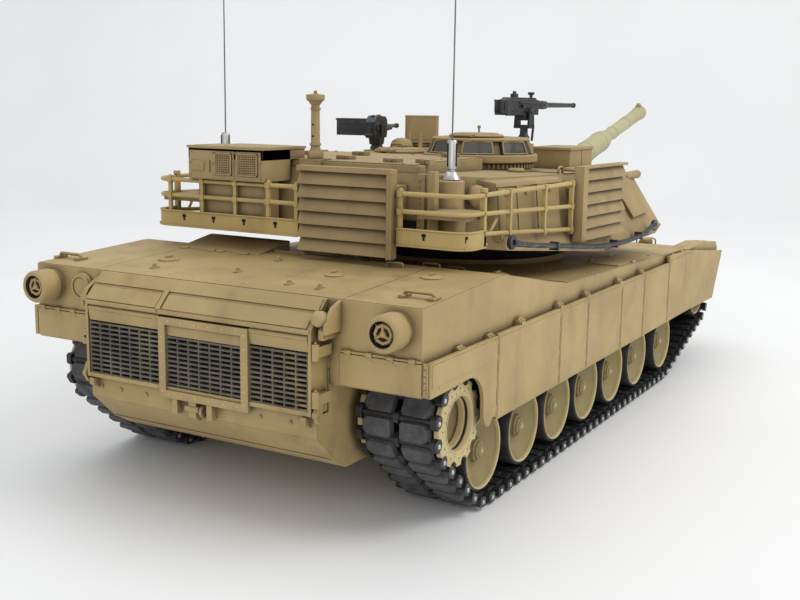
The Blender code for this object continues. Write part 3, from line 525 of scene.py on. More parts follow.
def make_track(side):
    """A belt of links: two rubber pads on black plates, joined by pins through end and middle connectors."""
    circles = [(SPROCKET[0], SPROCKET[2], SPROCKET_BELT), (IDLER[0], IDLER[2], 19.25),
               (WHEELS[0][0], WHEELS[0][2], 20.1), (WHEELS[-1][0], WHEELS[-1][2], 20.1)]
    rim, lengths = belt_path(circles, PIN_OFFSET)
    total = sum(lengths)
    count = round(total / LINK_PITCH)
    pitch = total / count
    start = 0.0
    closest = 1e9
    for k in range(400):
        point, _ = along_belt(rim, lengths, total * k / 400)
        gap = math.hypot(point.x - (SPROCKET[0] - SPROCKET_BELT - PIN_OFFSET), point.y - SPROCKET[2])
        if gap < closest:
            closest, start = gap, total * k / 400
    kit = Kit()
    half = pitch / 2
    for link in range(count):
        here, _ = along_belt(rim, lengths, start + pitch * link)
        a, _ = along_belt(rim, lengths, start + pitch * (link - 0.5))
        b, _ = along_belt(rim, lengths, start + pitch * (link + 0.5))
        along = (b - a).normalized()
        out = Vector((-along.y, along.x))
        if out.dot(here - Vector((250.0, 50.0))) < 0:
            out = -out
        middle = (a + b) / 2
        turn = Matrix(((along.x, 0, out.x, middle.x), (0, 1, 0, side * TRACK_Y),
                       (along.y, 0, out.y, middle.y), (0, 0, 0, 1)))
        kit.place = turn
        for across in (-1, 1):
            low, high = 1.7, 16.9
            kit.box((-half + 1.4, half - 1.4), (across * low, across * high), (-2.7, 0.9), 1)
            pad_low, pad_high, cut_corner = 2.1, 16.4, 2.2
            reach = half - 0.75
            corners = [(-reach, pad_low + 1.0), (-reach + 1.0, pad_low), (reach - 1.0, pad_low),
                       (reach, pad_low + 1.0), (reach, pad_high - cut_corner),
                       (reach - cut_corner, pad_high),
                       (-reach + cut_corner, pad_high), (-reach, pad_high - cut_corner)]
            base = [(u, across * v, 0.7) for u, v in corners]
            top = [(u * 0.93, across * (9.2 + (v - 9.2) * 0.95), LINK_THICK / 2) for u, v in corners]
            kit.loft(base, top, 0)
            kit.box((-1.6, 1.6), (across * 6.2, across * 12.2), (-3.2, -2.5), 1)
        kit.place = Matrix(((along.x, 0, out.x, b.x), (0, 1, 0, side * TRACK_Y),
                            (along.y, 0, out.y, b.y), (0, 0, 0, 1)))
        kit.rod((0, -17.0, 0), (0, 17.0, 0), 1.75, sides=10, paint=1)
        kit.prism([(-2.6, -1.7), (-1.8, -2.5), (1.8, -2.5), (2.6, -1.7), (2.6, 1.7), (1.8, 2.5),
                   (-1.8, 2.5),
                   (-2.6, 1.7)], -1.5, 1.5, "Y", 1)
        kit.box((-1.5, 1.5), (-1.1, 1.1), (1.5, 2.9), 1)
        if here.x > 70:
            kit.loft([(-2.6, -1.4, -2.4), (2.6, -1.4, -2.4), (2.6, 1.4, -2.4), (-2.6, 1.4, -2.4)],
                     [(-1.3, -0.8, -6.2), (1.3, -0.8, -6.2), (1.3, 0.8, -6.2), (-1.3, 0.8, -6.2)], 1)
        for across in (-1, 1):
            kit.prism([(-3.0, -1.5), (-2.0, -2.5), (2.0, -2.5), (3.0, -1.5), (3.0, 1.4), (2.0, 2.4),
                       (-2.0, 2.4),
                       (-3.0, 1.4)], across * 17.2, across * 20.3, "Y", 1)
            kit.lathe([(0, 0.55), (0.9, 0.5), (1.25, 0.2), (1.25, -0.3), (0, -0.3)], (0, across * 20.3, 0),
                      (0, across, 0), 10, 2)
    name = "right" if side < 0 else "left"
    kit.done(f"{name}_track_links", "hull", "track_rubber", (pad_rubber, link_black, steel), 0.18,
             (f"{name}_track",))


# ---------------------------------------------------------------- wheels


def wheel_kit(radius, hub=True):
    """A dished double wheel about its own centre, its outer face towards +Z. Paints: dish, rim, tyre."""
    kit = Kit()
    face = 17.0
    for way in (1, -1):
        def h(depth):
            return way * depth
        tyre = [(radius - 2.2, h(3.6)), (radius - 0.5, h(3.6)), (radius, h(4.3)), (radius, h(face - 1.4)),
                (radius - 0.7, h(face - 0.4)), (radius - 1.6, h(face - 0.3)), (radius - 2.2, h(face - 0.9))]
        kit.lathe(tyre, (0, 0, 0), (0, 0, 1), 56, 2)
        rim = [(radius - 2.15, h(3.6)), (radius - 1.55, h(3.8)), (radius - 1.45, h(face - 0.6)),
               (radius - 1.75, h(face)), (radius - 2.45, h(face - 0.2)), (radius - 2.8, h(face - 1.1)),
               (radius - 2.9, h(3.6))]
        kit.lathe(rim, (0, 0, 0), (0, 0, 1), 56, 1)
        dish = [(radius - 2.3, h(face - 1.3)), (radius - 3.1, h(face - 1.7)), (9.6, h(face - 5.2)),
                (8.2, h(face - 5.5)), (6.4, h(face - 5.4)), (5.6, h(face - 4.6)), (5.4, h(face - 3.4)),
                (4.4, h(face - 3.0)), (4.2, h(face - 2.2)), (3.0, h(face - 1.8)), (2.8, h(face - 1.4)),
                (0, h(face - 1.2)), (0, h(face - 7.5)), (9.0, h(face - 7.0)), (radius - 2.3, h(face - 3.2))]
        if way < 0 or not hub:
            dish[4:12] = [(6.0, h(face - 5.3)), (0, h(face - 5.2))]
        kit.lathe(dish, (0, 0, 0), (0, 0, 1), 56, 0)
    kit.rod((0, 0, -face + 6), (0, 0, face - 6), 5.2, paint=0)
    if hub:
        for k in range(6):
            angle = math.pi * k / 3
            kit.bolt((4.9 * math.cos(angle), 4.9 * math.sin(angle), face - 3.4), (0, 0, 1), 0.42, 0.4, 6, 0)
        kit.bolt((0, 0, face - 1.4), (0, 0, 1), 1.1, 0.6, 6, 1)
    return kit


def sprocket_outline(teeth=12, gap_centre=19.9, gap=3.05, steps=7):
    outline = []
    pitch = 2 * math.pi / teeth
    for tooth in range(teeth):
        middle = pitch * (tooth + 0.5)
        for k in range(steps + 1):
            turn = math.radians(80) * (1 - 2 * k / steps)
            along = gap_centre - gap * math.cos(turn)
            across = -gap * math.sin(turn)
            outline.append((along * math.cos(middle) - across * math.sin(middle),
                            along * math.sin(middle) + across * math.cos(middle)))
    return outline


def sprocket_kit():
    kit = Kit()
    outline = sprocket_outline()
    for way in (1, -1):
        low, high = way * 17.9, way * 20.4
        n = len(outline)
        inner = [(12.7 * math.cos(2 * math.pi * (i + 1) / n - 0.26),
                  12.7 * math.sin(2 * math.pi * (i + 1) / n - 0.26))
                 for i in range(n)]
        shift = min(range(n), key=lambda k: (Vector(inner[k]) - Vector(outline[0])).length)
        inner = inner[shift:] + inner[:shift]
        points = [(u, v, low) for u, v in outline] + [(u, v, high) for u, v in outline]
        points += [(u, v, low) for u, v in inner] + [(u, v, high) for u, v in inner]
        faces = []
        for i in range(n):
            j = (i + 1) % n
            faces.append((i, j, n + j, n + i))
            faces.append((2 * n + i, 3 * n + i, 3 * n + j, 2 * n + j))
            faces.append((n + i, n + j, 3 * n + j, 3 * n + i))
            faces.append((i, 2 * n + i, 2 * n + j, j))
        kit.solid(points, faces, 1)
        for k in range(12):
            angle = math.radians(30 * k)
            # Near-black dots in the shadow material: painted shade in the holes.
            kit.lathe([(0, way * 20.42), (0.55, way * 20.42), (0.6, way * 20.2), (0, way * 20.2)],
                      (16.0 * math.cos(angle), 16.0 * math.sin(angle), 0), (0, 0, 1), 8, 3)
            between = angle + math.radians(15)
            kit.lathe([(0, way * 20.75), (0.45, way * 20.7), (0.55, way * 20.3), (0, way * 20.3)],
                      (14.6 * math.cos(between), 14.6 * math.sin(between), 0), (0, 0, 1), 6, 1)
        rim = [(13.3, way * 18.0), (13.3, way * 20.7), (12.7, way * 20.7), (12.3, way * 20.2),
               (12.2, way * 17.0),
               (11.2, way * 16.6), (11.0, way * 14.0), (12.2, way * 12.5)]
        kit.lathe(rim, (0, 0, 0), (0, 0, 1), 56, 1)
        disc = [(12.3, way * 13.6), (11.2, way * 13.2), (4.2, way * 10.6), (3.6, way * 11.4),
                (0, way * 11.5),
                (0, way * 8.6), (12.3, way * 10.0)]
        kit.lathe(disc, (0, 0, 0), (0, 0, 1), 56, 0)
    kit.lathe([(13.7, 18.2), (13.7, -18.2), (12.0, -18.2), (12.0, 18.2)], (0, 0, 0), (0, 0, 1), 56, 2)
    return kit


def at_wheel(centre, side):
    """The place of a wheel whose +Z is its outer side."""
    turn = Matrix.Rotation(-side * math.pi / 2, 4, "X")
    return Matrix.Translation((centre[0] * MM + REAR, side * TRACK_Y * MM, centre[2] * MM)) @ turn


def running_gear():
    for side, name in ((-1, "right"), (1, "left")):
        make_track(side)
        sprocket_kit().done(f"{name}_drive_sprocket", f"{name}_sprocket", "wheel_paint",
                            (wheel_paint, rim_paint, link_black, shadow_black), 0.2, (f"{name}_sprocket",),
                            at_wheel(SPROCKET, side))
        wheel_kit(19.0).done(f"{name}_idler_wheel", f"{name}_idler", "wheel_paint",
                             (wheel_paint, rim_paint, tyre_black), 0.0, (f"{name}_idler",),
                             at_wheel(IDLER, side))
        for i, centre in enumerate(WHEELS, 1):
            wheel_kit(19.85).done(f"{name}_wheel_{i}", f"{name}_road_wheel_{i}", "wheel_paint",
                                  (wheel_paint, rim_paint, tyre_black), 0.0, (f"{name}_road_wheel_{i}",),
                                  at_wheel(centre, side))

# ---------------------------------------------------------------- hull

SKIRT_Y = 114.3
SKIRT_THICK = 2.0
SKIRT_BOTTOM = 44.9
SKIRT_SEAMS = (64.6, 141.0, 181.0, 238.0, 281.0, 334.5)
HOOD_TOP = Vector((-1.5, 0, 106.4))
HOOD_LOW = Vector((-13.0, 0, 94.5))
DECK = ((0, 106.4), (78, 110.3), (139, 98.7), (160, 95.4), (330, 90.4), (380, 88.9), (470, 79.4),
        (486, 72.5))


def deck_height(x):
    for (x0, z0), (x1, z1) in zip(DECK, DECK[1:]):
        if x0 <= x <= x1:
            return z0 + (z1 - z0) * (x - x0) / (x1 - x0)
    return DECK[-1][1]


def deck_plate(kit, outline, thick=0.5, paint=0, lift=0.0):
    """A plate that lies on the sloping deck, its outline in (x, y) inside one slope."""
    low = [(x, y, deck_height(x) - 0.15 + lift) for x, y in outline]
    high = [(x, y, deck_height(x) + thick + lift) for x, y in outline]
    kit.loft(low, high, paint)


def rectangle(x0, x1, y0, y1):
    return [(x0, y0), (x1, y0), (x1, y1), (x0, y1)]


def make_exhaust():
    """The rear grille: three runs of ribbed bars, rounded caps over the outer ones, and a bolted frame."""
    kit = Kit()
    back, face = -9.9, -12.6
    runs = ((19.2, 62.3, 59.6, 83.8), (-28.0, 14.8, 58.4, 82.4), (-62.3, -32.0, 59.6, 83.8))
    for y0, y1, z0, z1 in runs:
        pitch = 2.05
        bars = int((z1 - z0) / pitch)
        for k in range(bars + 1):
            z = z0 + (z1 - z0) * k / bars
            kit.box((face, face + 1.7), (y0, y1), (z - 0.45, z + 0.45), 1)
        ribs = max(3, round((y1 - y0) / 6.2))
        for k in range(ribs + 1):
            y = y0 + (y1 - y0) * k / ribs
            kit.box((face + 0.25, face + 2.6), (y - 0.38, y + 0.38), (z0 - 0.6, z1 + 0.6), 1)
    # A near-black plate behind the bars: painted shade in the grille's depth.
    kit.box((back, back + 0.6), (-62.8, 62.8), (59.6, 92.3), 2)
    for y0, y1 in ((19.2, 62.6), (-62.6, -32.0)):
        kit.rod((face + 0.9, y0, 90.8), (face + 0.9, y1, 90.8), 1.4, sides=20)
        kit.loft([(-12.2, y0, 85.0), (back, y0, 85.0), (back, y1, 85.0), (-12.2, y1, 85.0)],
                 [(-12.9, y0, 89.9), (back, y0, 89.9), (back, y1, 89.9), (-12.9, y1, 89.9)])
        kit.box((face + 0.6, back), (y0, y1), (89.6, 92.3))
    kit.done("exhaust_bars", "hull", "grille", (hull_paint, soot_bars, shadow_black), 0.12, ("rear_grille",))

    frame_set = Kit()
    outer = (-13.9, -11.6)
    y0, y1, z0, z1, wide = -32.0, 18.6, 54.4, 91.6, 3.9
    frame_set.box(outer, (y1 - wide, y1), (z0, z1))
    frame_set.box(outer, (y0, y0 + wide), (z0, z1))
    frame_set.box(outer, (y0 + wide, y1 - wide), (z1 - 3.4, z1))
    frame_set.box(outer, (y0 + wide, y1 - wide), (z0, z0 + 3.6))
    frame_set.box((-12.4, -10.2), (y0 + wide, y1 - wide), (z1 - 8.4, z1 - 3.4))
    for k in range(6):
        z = z0 + 3 + (z1 - z0 - 6) * k / 5
        for y in (y0 + wide / 2, y1 - wide / 2):
            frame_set.bolt((-13.82, y, z), (-1, 0, 0), 0.5, 0.42, 6, 1)
        y = y0 + 6 + (y1 - y0 - 12) * k / 5
        for z in (z0 + 1.8, z1 - 1.7):
            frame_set.bolt((-13.82, y, z), (-1, 0, 0), 0.5, 0.42, 6, 1)
    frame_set.done("exhaust_frame", "hull", "hull_paint", (hull_paint, rim_paint), 0.2)


def on_hood(t, y, out=0.0):
    """A point on the sloping hood: t runs from its top edge to its lower edge."""
    slope = (HOOD_LOW - HOOD_TOP)
    normal = Vector((slope.z, 0, -slope.x)).normalized()
    p = HOOD_TOP + slope * t + normal * out
    return Vector((p.x, y, p.z))


def hood_plate(kit, t0, t1, y0, y1, thick):
    low = [on_hood(t, y, -0.3) for t, y in ((t0, y0), (t1, y0), (t1, y1), (t0, y1))]
    high = [on_hood(t, y, thick) for t, y in ((t0, y0), (t1, y0), (t1, y1), (t0, y1))]
    kit.loft(low, high)


def make_rear_plate():
    """What is bolted and welded to the rear of the hull round the exhaust."""
    kit = Kit()
    hood_plate(kit, 0.03, 0.40, -63.5, 63.8, 0.55)
    hood_plate(kit, 0.50, 0.97, 21.0, 63.8, 0.55)
    hood_plate(kit, 0.50, 0.97, -62.0, 17.0, 0.55)
    hood_plate(kit, 0.36, 1.0, 17.8, 20.4, 0.9)
    hood_plate(kit, 0.36, 0.56, -64.2, -62.4, 0.9)
    kit.box((-13.4, -11.6), (20, 63.6), (93.0, 94.8))
    kit.box((-13.4, -11.6), (-63.6, -32.4), (93.0, 94.8))
    # Right end of the box: a wall with a bullet-shaped cap and two hinge knuckles.
    for z0, z1 in ((82.0, 89.0), (61.5, 68.5)):
        kit.rod((-12.1, -66.2, z0), (-12.1, -66.2, z1), 1.6, sides=18)
        kit.box((-12.4, -2.0), (-67.6, -64.6), (z0 + 1.2, z1 - 1.2))
        kit.rod((-12.1, -66.2, z1 - 0.2), (-12.1, -66.2, z1 + 0.9), 0.8, 0.5, sides=12)
    kit.lathe([(0, 4.6), (1.6, 4.2), (2.9, 2.9), (3.4, 1.0), (3.4, -2.0), (0, -2.0)], (-9.6, -66.6, 99.2),
              (-1, -0.1, 0.15), 24)
    kit.rod((-13.2, -66.9, 97.6), (-9, -66.9, 97.6), 0.9, sides=12)
    kit.prism([(0, 106.2), (-6.4, 104.0), (-11.6, 97.8), (-11.6, 93.2), (0, 93.2)], -71.2, -69.6, "Y")
    # Left end: a lug with its pin, and the small lamp bracket under it.
    kit.box((-11.8, -8.0), (64.8, 68.6), (91.4, 96.0))
    kit.rod((-12.6, 66.8, 92.4), (-11.0, 66.8, 92.4), 0.9, sides=12)
    kit.box((-11.4, -9.6), (64.6, 68.8), (72.4, 79.6))
    # A near-black disc in the shadow material: painted shade in the bracket's hole.
    kit.lathe([(0, 0.1), (0.8, 0.1), (0.8, -0.4), (0, -0.4)], (-11.4, 66.8, 76.0), (-1, 0, 0), 12, 1)
    for x, y in ((-11.3, 65.4), (-11.3, 68.0)):
        kit.rivet((x, y, 73.4), (-1, 0, 0), 0.35)
    # Lower plate: tow eye, lifting lugs, bolts and a weld bead.
    kit.prism([(-13.2, 56.2), (-13.2, 47.0), (-10.6, 45.2), (-9.4, 45.2), (-9.4, 56.2)], -2.2, 2.2, "Y")
    kit.rod((-12.6, -3.8, 51.0), (-12.6, 3.8, 51.0), 1.5, sides=16)
    kit.lathe([(2.2, 0.8), (3.1, 0.8), (3.1, -0.8), (2.2, -0.8)], (-10.7, -5.4, 50.2), (0.2, 1, 0), 20)
    for side in (-1, 1):
        kit.prism([(-11.2, 63.6), (-13.2, 58.2), (-11.2, 54.2), (-8.4, 54.2), (-8.4, 63.6)],
                  side * 66.4 - 1.0,
                  side * 66.4 + 1.0, "Y")
        kit.lathe([(1.0, 1.2), (2.0, 1.2), (2.0, -1.2), (1.0, -1.2)], (-11.4, side * 66.4, 58.4),
                  (0, 1, 0), 16)
    for y in (-52, -36, 30, 46, 58):
        kit.bolt((-10.2, y, 52.6), (-1, 0, -0.08), 0.7, 0.5)
    kit.sweep([(-8.6, -64, 46.3), (-8.6, 64, 46.3)], 0.45, 6)
    kit.sweep([(3.6, -64, 34.0), (3.6, 64, 34.0)], 0.45, 6)
    kit.done("rear_plate_fittings", "hull", "hull_paint", (hull_paint, shadow_black), 0.22)


def make_tail_lights():
    kit = Kit()
    for side in (-1, 1):
        y, z = side * 98.5, 97.0
        kit.lathe([(5.5, 1.3), (6.3, 1.9), (7.2, 1.5), (7.75, 0.6), (7.9, -1.0), (7.9, -8.5), (7.3, -10.5),
                   (6.0, -11.5),
                   (6.0, 1.0)][::-1], (-11.9, y, z), (-1, 0, 0), 48)
        # A near-black disc and ring inside the lamp: painted shade in its recess.
        kit.lathe([(0, -2.6), (5.6, -2.6), (5.6, -3.2), (0, -3.2)], (-11.9, y, z), (-1, 0, 0), 32, 2)
        kit.lathe([(5.3, 0.6), (6.05, 0.9), (6.05, -2.8), (5.3, -2.8)], (-11.9, y, z), (-1, 0, 0), 40, 2)
        kit.lathe([(3.1, 0.2), (4.3, 0.4), (4.9, -0.3), (4.9, -2.8), (3.1, -2.8)], (-11.9, y, z),
                  (-1, 0, 0), 8)
        kit.lathe([(0, -2.1), (3.3, -2.1), (3.3, -2.7), (0, -2.7)], (-11.9, y, z), (-1, 0, 0), 24, 1)
        for turn in (90, 210, 330):
            angle = math.radians(turn)
            across, up = math.cos(angle), math.sin(angle)
            kit.rod((-12.0, y + 1.0 * across, z + 1.0 * up), (-12.0, y + 4.4 * across, z + 4.4 * up), 0.8,
                    0.5, sides=8)
        kit.lathe([(0, 0.9), (1.0, 0.8), (1.6, 0.2), (1.6, -2.6), (0, -2.6)], (-11.9, y, z), (-1, 0, 0), 16)
        for k in range(4):
            angle = math.radians(45 + 90 * k)
            kit.rivet((-11.5, y + 4.9 * math.cos(angle), z + 4.9 * math.sin(angle)), (-1, 0, 0), 0.5)
        # Mud flap: hinge line, knuckles and rivets.
        kit.box((-0.75, 0.4), (side * 70.8, side * 110.2), (69.9, 83.8))
        kit.sweep([(-0.75, side * 71, 84.7), (-0.75, side * 110, 84.7)], 0.55, 10)
        for k in range(4):
            centre = side * (75 + 10.3 * k)
            kit.rod((-0.95, centre - 1.6, 84.7), (-0.95, centre + 1.6, 84.7), 0.95, sides=12)
            kit.box((-1.0, 0.2), (centre - 1.2, centre + 1.2), (82.2, 84.7))
            for step in (-2.3, 2.3):
                kit.rivet((-0.75, centre + step, 81.6), (-1, 0, 0), 0.32)
        kit.box((-0.1, 0.8), (side * 109.8, side * 112.9), (69.9, 84.4))
        for k in range(5):
            kit.rod((-0.1, side * 111.4, 70.8 + 2.8 * k), (-0.1, side * 111.4, 73.2 + 2.8 * k), 0.6,
                    sides=10)
    kit.lathe([(0, 1.6), (3.0, 1.4), (5.2, 0.7), (6.6, 0.5), (6.9, 0.0), (6.9, -2.0), (0, -2.0)],
              (-1.4, 78.2, 97.5),
              (-1, 0, 0), 40)
    kit.lathe([(4.9, 1.5), (5.6, 1.6), (6.1, 1.2), (6.1, 0.2), (4.9, 0.2)], (-1.4, 78.2, 97.5), (-1, 0, 0),
              40)
    for side in (-1, 1):
        kit.lathe([(2.8, 0.8), (3.6, 1.1), (4.1, 0.5), (4.1, -9.5), (2.8, -9.5)], (474, side * 56, 80.5),
                  (1, 0, 0), 32)
        kit.lathe([(0, 0.3), (2.0, 0.1), (3.2, -0.5), (0, -0.8)], (474, side * 56, 80.5), (1, 0, 0), 28, 3)
        for across in (50.5, 61.5):
            kit.sweep(rounded([(463, side * across, 79), (463, side * across, 85.6),
                               (477, side * across, 82.6),
                               (477, side * across, 76)], 2.5), 0.6, 10)
    kit.done("lights_and_flaps", "hull", "hull_paint", (hull_paint, lamp_red, shadow_black, lamp_clear), 0.2)


def make_deck():
    """Deck plates, grilles, caps, handles and lifting eyes."""
    kit = Kit()
    for y0, y1 in ((-109.6, -71.5), (-71.0, 70.5), (71.0, 109.6)):
        deck_plate(kit, rectangle(0.6, 77.5, y0, y1), 0.35)
    for y0, y1 in ((-109.6, -70.4), (-70.0, -2.2), (-1.8, 21.8), (77.2, 109.6)):
        deck_plate(kit, rectangle(78.4, 138.6, y0, y1), 0.35)
    for side in (-1, 1):
        deck_plate(kit, rectangle(160.5, 238, side * 109.6, side * 70.2), 0.4)
        deck_plate(kit, rectangle(239, 329.5, side * 109.6, side * 71.6), 0.4)
        deck_plate(kit, rectangle(331, 379, side * 109.6, side * 40.0), 0.35)
        deck_plate(kit, rectangle(381, 469, side * 109.6, side * 66.0), 0.35)
        deck_plate(kit, rectangle(381, 469, side * 65.4, side * 0.3), 0.35)
        for x in (205, 236, 284, 318):
            kit.bolt((x, side * 104.6, deck_height(x) + 0.4), (0, 0, 1), 1.0, 0.6)
            kit.bolt((x, side * 76.8, deck_height(x) + 0.4), (0, 0, 1), 1.0, 0.6)
        # The fender's raised ramp and the end of its hinge.
        kit.prism([(394, 82), (394, 87.3), (437, 88.5), (473.6, 84.9), (478.5, 79.4), (470, 78)],
                  side * 97, side * 109.9, "Y")
        kit.rod((476.5, side * 97.5, 83.0), (476.5, side * 109.4, 83.0), 1.6, sides=16)
        for x in (404, 424, 444, 464):
            kit.bolt((x, side * 103, 88.4 - (0.10 * (x - 437) if x > 437 else 0.028 * (437 - x))),
                     (0, 0, 1), 0.9, 0.6)
        # Sponson stowage lids by the turret, with hinges and a latch.
        deck_plate(kit, rectangle(246, 300, side * 108.4, side * 88), 0.9, lift=0.3)
        for x in (256, 290):
            kit.rod((x - 3, side * 88, deck_height(x) + 1.3), (x + 3, side * 88, deck_height(x) + 1.3),
                    1.0, sides=12)
        kit.box((270, 276), (side * 107.4, side * 109.4), (deck_height(273), deck_height(273) + 1.9))
    # Caps and handles on the engine deck.
    for x, y, r in ((34.8, 54.8, 5.2), (40.0, -41.0, 4.6), (56.0, -84.0, 5.6), (118.0, -88.0, 6.2)):
        z = deck_height(x) + 0.3
        kit.lathe([(0, 1.3), (r * 0.55, 1.3), (r * 0.62, 0.9), (r * 0.9, 0.8), (r, 0.4), (r, -0.6),
                   (0, -0.6)],
                  (x, y, z), (0, 0, 1), 32)
        kit.box((x - r * 0.45, x + r * 0.45), (y - 0.6, y + 0.6), (z + 0.9, z + 2.2))
    for x, y in ((14.4, -34.1), (13.3, -51.2), (15.7, 46.7), (26.0, 4.0), (58.0, 4.0)):
        z = deck_height(x) + 0.3
        kit.bolt((x, y, z), (0, 0, 1), 1.5, 1.2, 6)
        kit.ball((x, y, z + 1.6), 1.0)
        kit.box((x - 2.8, x + 2.8), (y - 1.0, y + 1.0), (z - 0.3, z + 0.5))
    for x, y in ((14.2, 101.6), (16.0, -99.5)):
        z = deck_height(x) + 0.3
        kit.box((x - 3.4, x + 3.4), (y - 8.6, y - 5.6), (z - 0.4, z + 1.3))
        kit.box((x - 3.4, x + 3.4), (y + 5.6, y + 8.6), (z - 0.4, z + 1.3))
        kit.sweep(rounded([(x, y - 7, z), (x, y - 7, z + 2.6), (x, y + 7, z + 2.6), (x, y + 7, z)], 2.0),
                  0.8, 10)
    for x, y in ((70, -56), (100, -60), (100, -12), (128, -60), (128, -12)):
        z = deck_height(x) + 0.3
        path = rounded([(x, y - 4.5, z - 0.5), (x, y - 4.5, z + 2.2), (x, y + 4.5, z + 2.2),
                        (x, y + 4.5, z - 0.5)], 1.4)
        kit.sweep(path, 0.55, 8)
    for k in range(9):
        kit.rivet((6, -58 + 14.5 * k, deck_height(6) + 0.35), (-0.05, 0, 1), 0.5)
    # Driver's hatch and periscopes.
    kit.prism([(328, -15.5), (328, 15.5), (334, 19), (351, 19), (358, 13), (358, -13), (351, -19),
               (334, -19)],
              92.4, 93.6, "Z")
    for y in (-12, 0, 12):
        kit.box((359.2, 366.4), (y - 4.6, y + 4.6), (94.6, 95.6))
        kit.box((366.0, 366.5), (y - 3.2, y + 3.2), (90.6, 94.2), 2)
    kit.sweep(rounded([(332, -8, 93), (332, -8, 96), (332, 8, 96), (332, 8, 93)], 2), 0.8, 10)
    kit.done("deck_fittings", "hull", "hull_paint", (hull_paint, shadow_black, sight_glass), 0.2)

    # Two black mesh screens on a housing that rises under the turret, hinged at its rear edge: a dark block
    # set where the turret bustle casts its shadow, its housing in the shadow material, so painted shadow.
    mesh_kit = Kit()
    mesh_kit.prism([(66, 108.4), (66, 109.8), (92, 114.2), (93.4, 114.2), (93.4, 106)], 22.6, 75.4, "Y", 1)
    slope = (114.2 - 109.8) / 26.0
    for y in (22.6, 48.4, 74.6):
        mesh_kit.loft([(66, y, 109), (93.4, y, 113), (93.4, y + 0.8, 113), (66, y + 0.8, 109)],
                      [(66, y, 110.2), (93.4, y, 114.6), (93.4, y + 0.8, 114.6), (66, y + 0.8, 110.2)])
    mesh_kit.box((65.2, 66.4), (22.0, 76.0), (108.6, 110.3))
    for k in range(1, 16):
        x = 66 + 1.75 * k
        z = 109.8 + slope * (x - 66)
        mesh_kit.box((x - 0.25, x + 0.25), (23.4, 74.6), (z - 0.4, min(z + 0.35, 114.5)), 2)
    for k in range(1, 26):
        y = 23.0 + 2.04 * k
        mesh_kit.loft([(66.4, y - 0.2, 109.4), (92.6, y - 0.2, 113.8), (92.6, y + 0.2, 113.8),
                       (66.4, y + 0.2, 109.4)],
                      [(66.4, y - 0.2, 110.0), (92.6, y - 0.2, 114.4), (92.6, y + 0.2, 114.4),
                       (66.4, y + 0.2, 110.0)],
                      2)
    for y in (30, 46, 52, 70):
        mesh_kit.rod((64.9, y - 2.2, 110.0), (64.9, y + 2.2, 110.0), 0.8, sides=12)
        mesh_kit.box((62.4, 66.0), (y - 1.6, y + 1.6), (108.8, 110.2))
    # The grilles' base plates are in the near-black shadow material: painted shade under the bars.
    for x0, x1, y0, y1 in ((79.0, 137.5, 3.0, 20.0), (96.0, 137.5, 24.5, 74.5)):
        deck_plate(mesh_kit, rectangle(x0, x1, y0, y1), 0.42, 1)
        for k in range(1, 16):
            x = x0 + (x1 - x0) * k / 16
            deck_plate(mesh_kit, rectangle(x - 0.45, x + 0.45, y0, y1), 1.0, 2)
        for outline in (rectangle(x0 - 1.2, x1 + 0.0, y0 - 1.4, y0), rectangle(x0 - 1.2, x1, y1, y1 + 1.4),
                        rectangle(x0 - 1.2, x0, y0, y1), rectangle(x1 - 1.0, x1, y0, y1)):
            deck_plate(mesh_kit, outline, 1.3, 0)
    mesh_kit.done("deck_grilles_and_shadow_housing", "hull", "hull_paint", (hull_paint, shadow_black, link_black), 0.15)


def arch_outline():
    """The first skirt panel: its lower edge rises over the sprocket and ends in a rounded finger."""
    outline = [(0.4, 84.6), (0.4, 69.6), (14.0, 69.9), (30.0, 70.6)]
    outline += [(36.5 + 14.3 * math.sin(a), 56.4 + 14.3 * math.cos(a)) for a in
                (math.radians(9 * k) for k in range(0, 11))]
    outline += [(50.9, 50.0), (52.2, 47.0)]
    outline += [(56.3 - 3.6 * math.cos(a), 46.8 - 2.9 * math.sin(a)) for a in
                (math.radians(30 * k) for k in range(1, 6))]
    outline += [(60.6, 47.4), (64.35, 46.6), (64.35, 84.6)]
    return outline


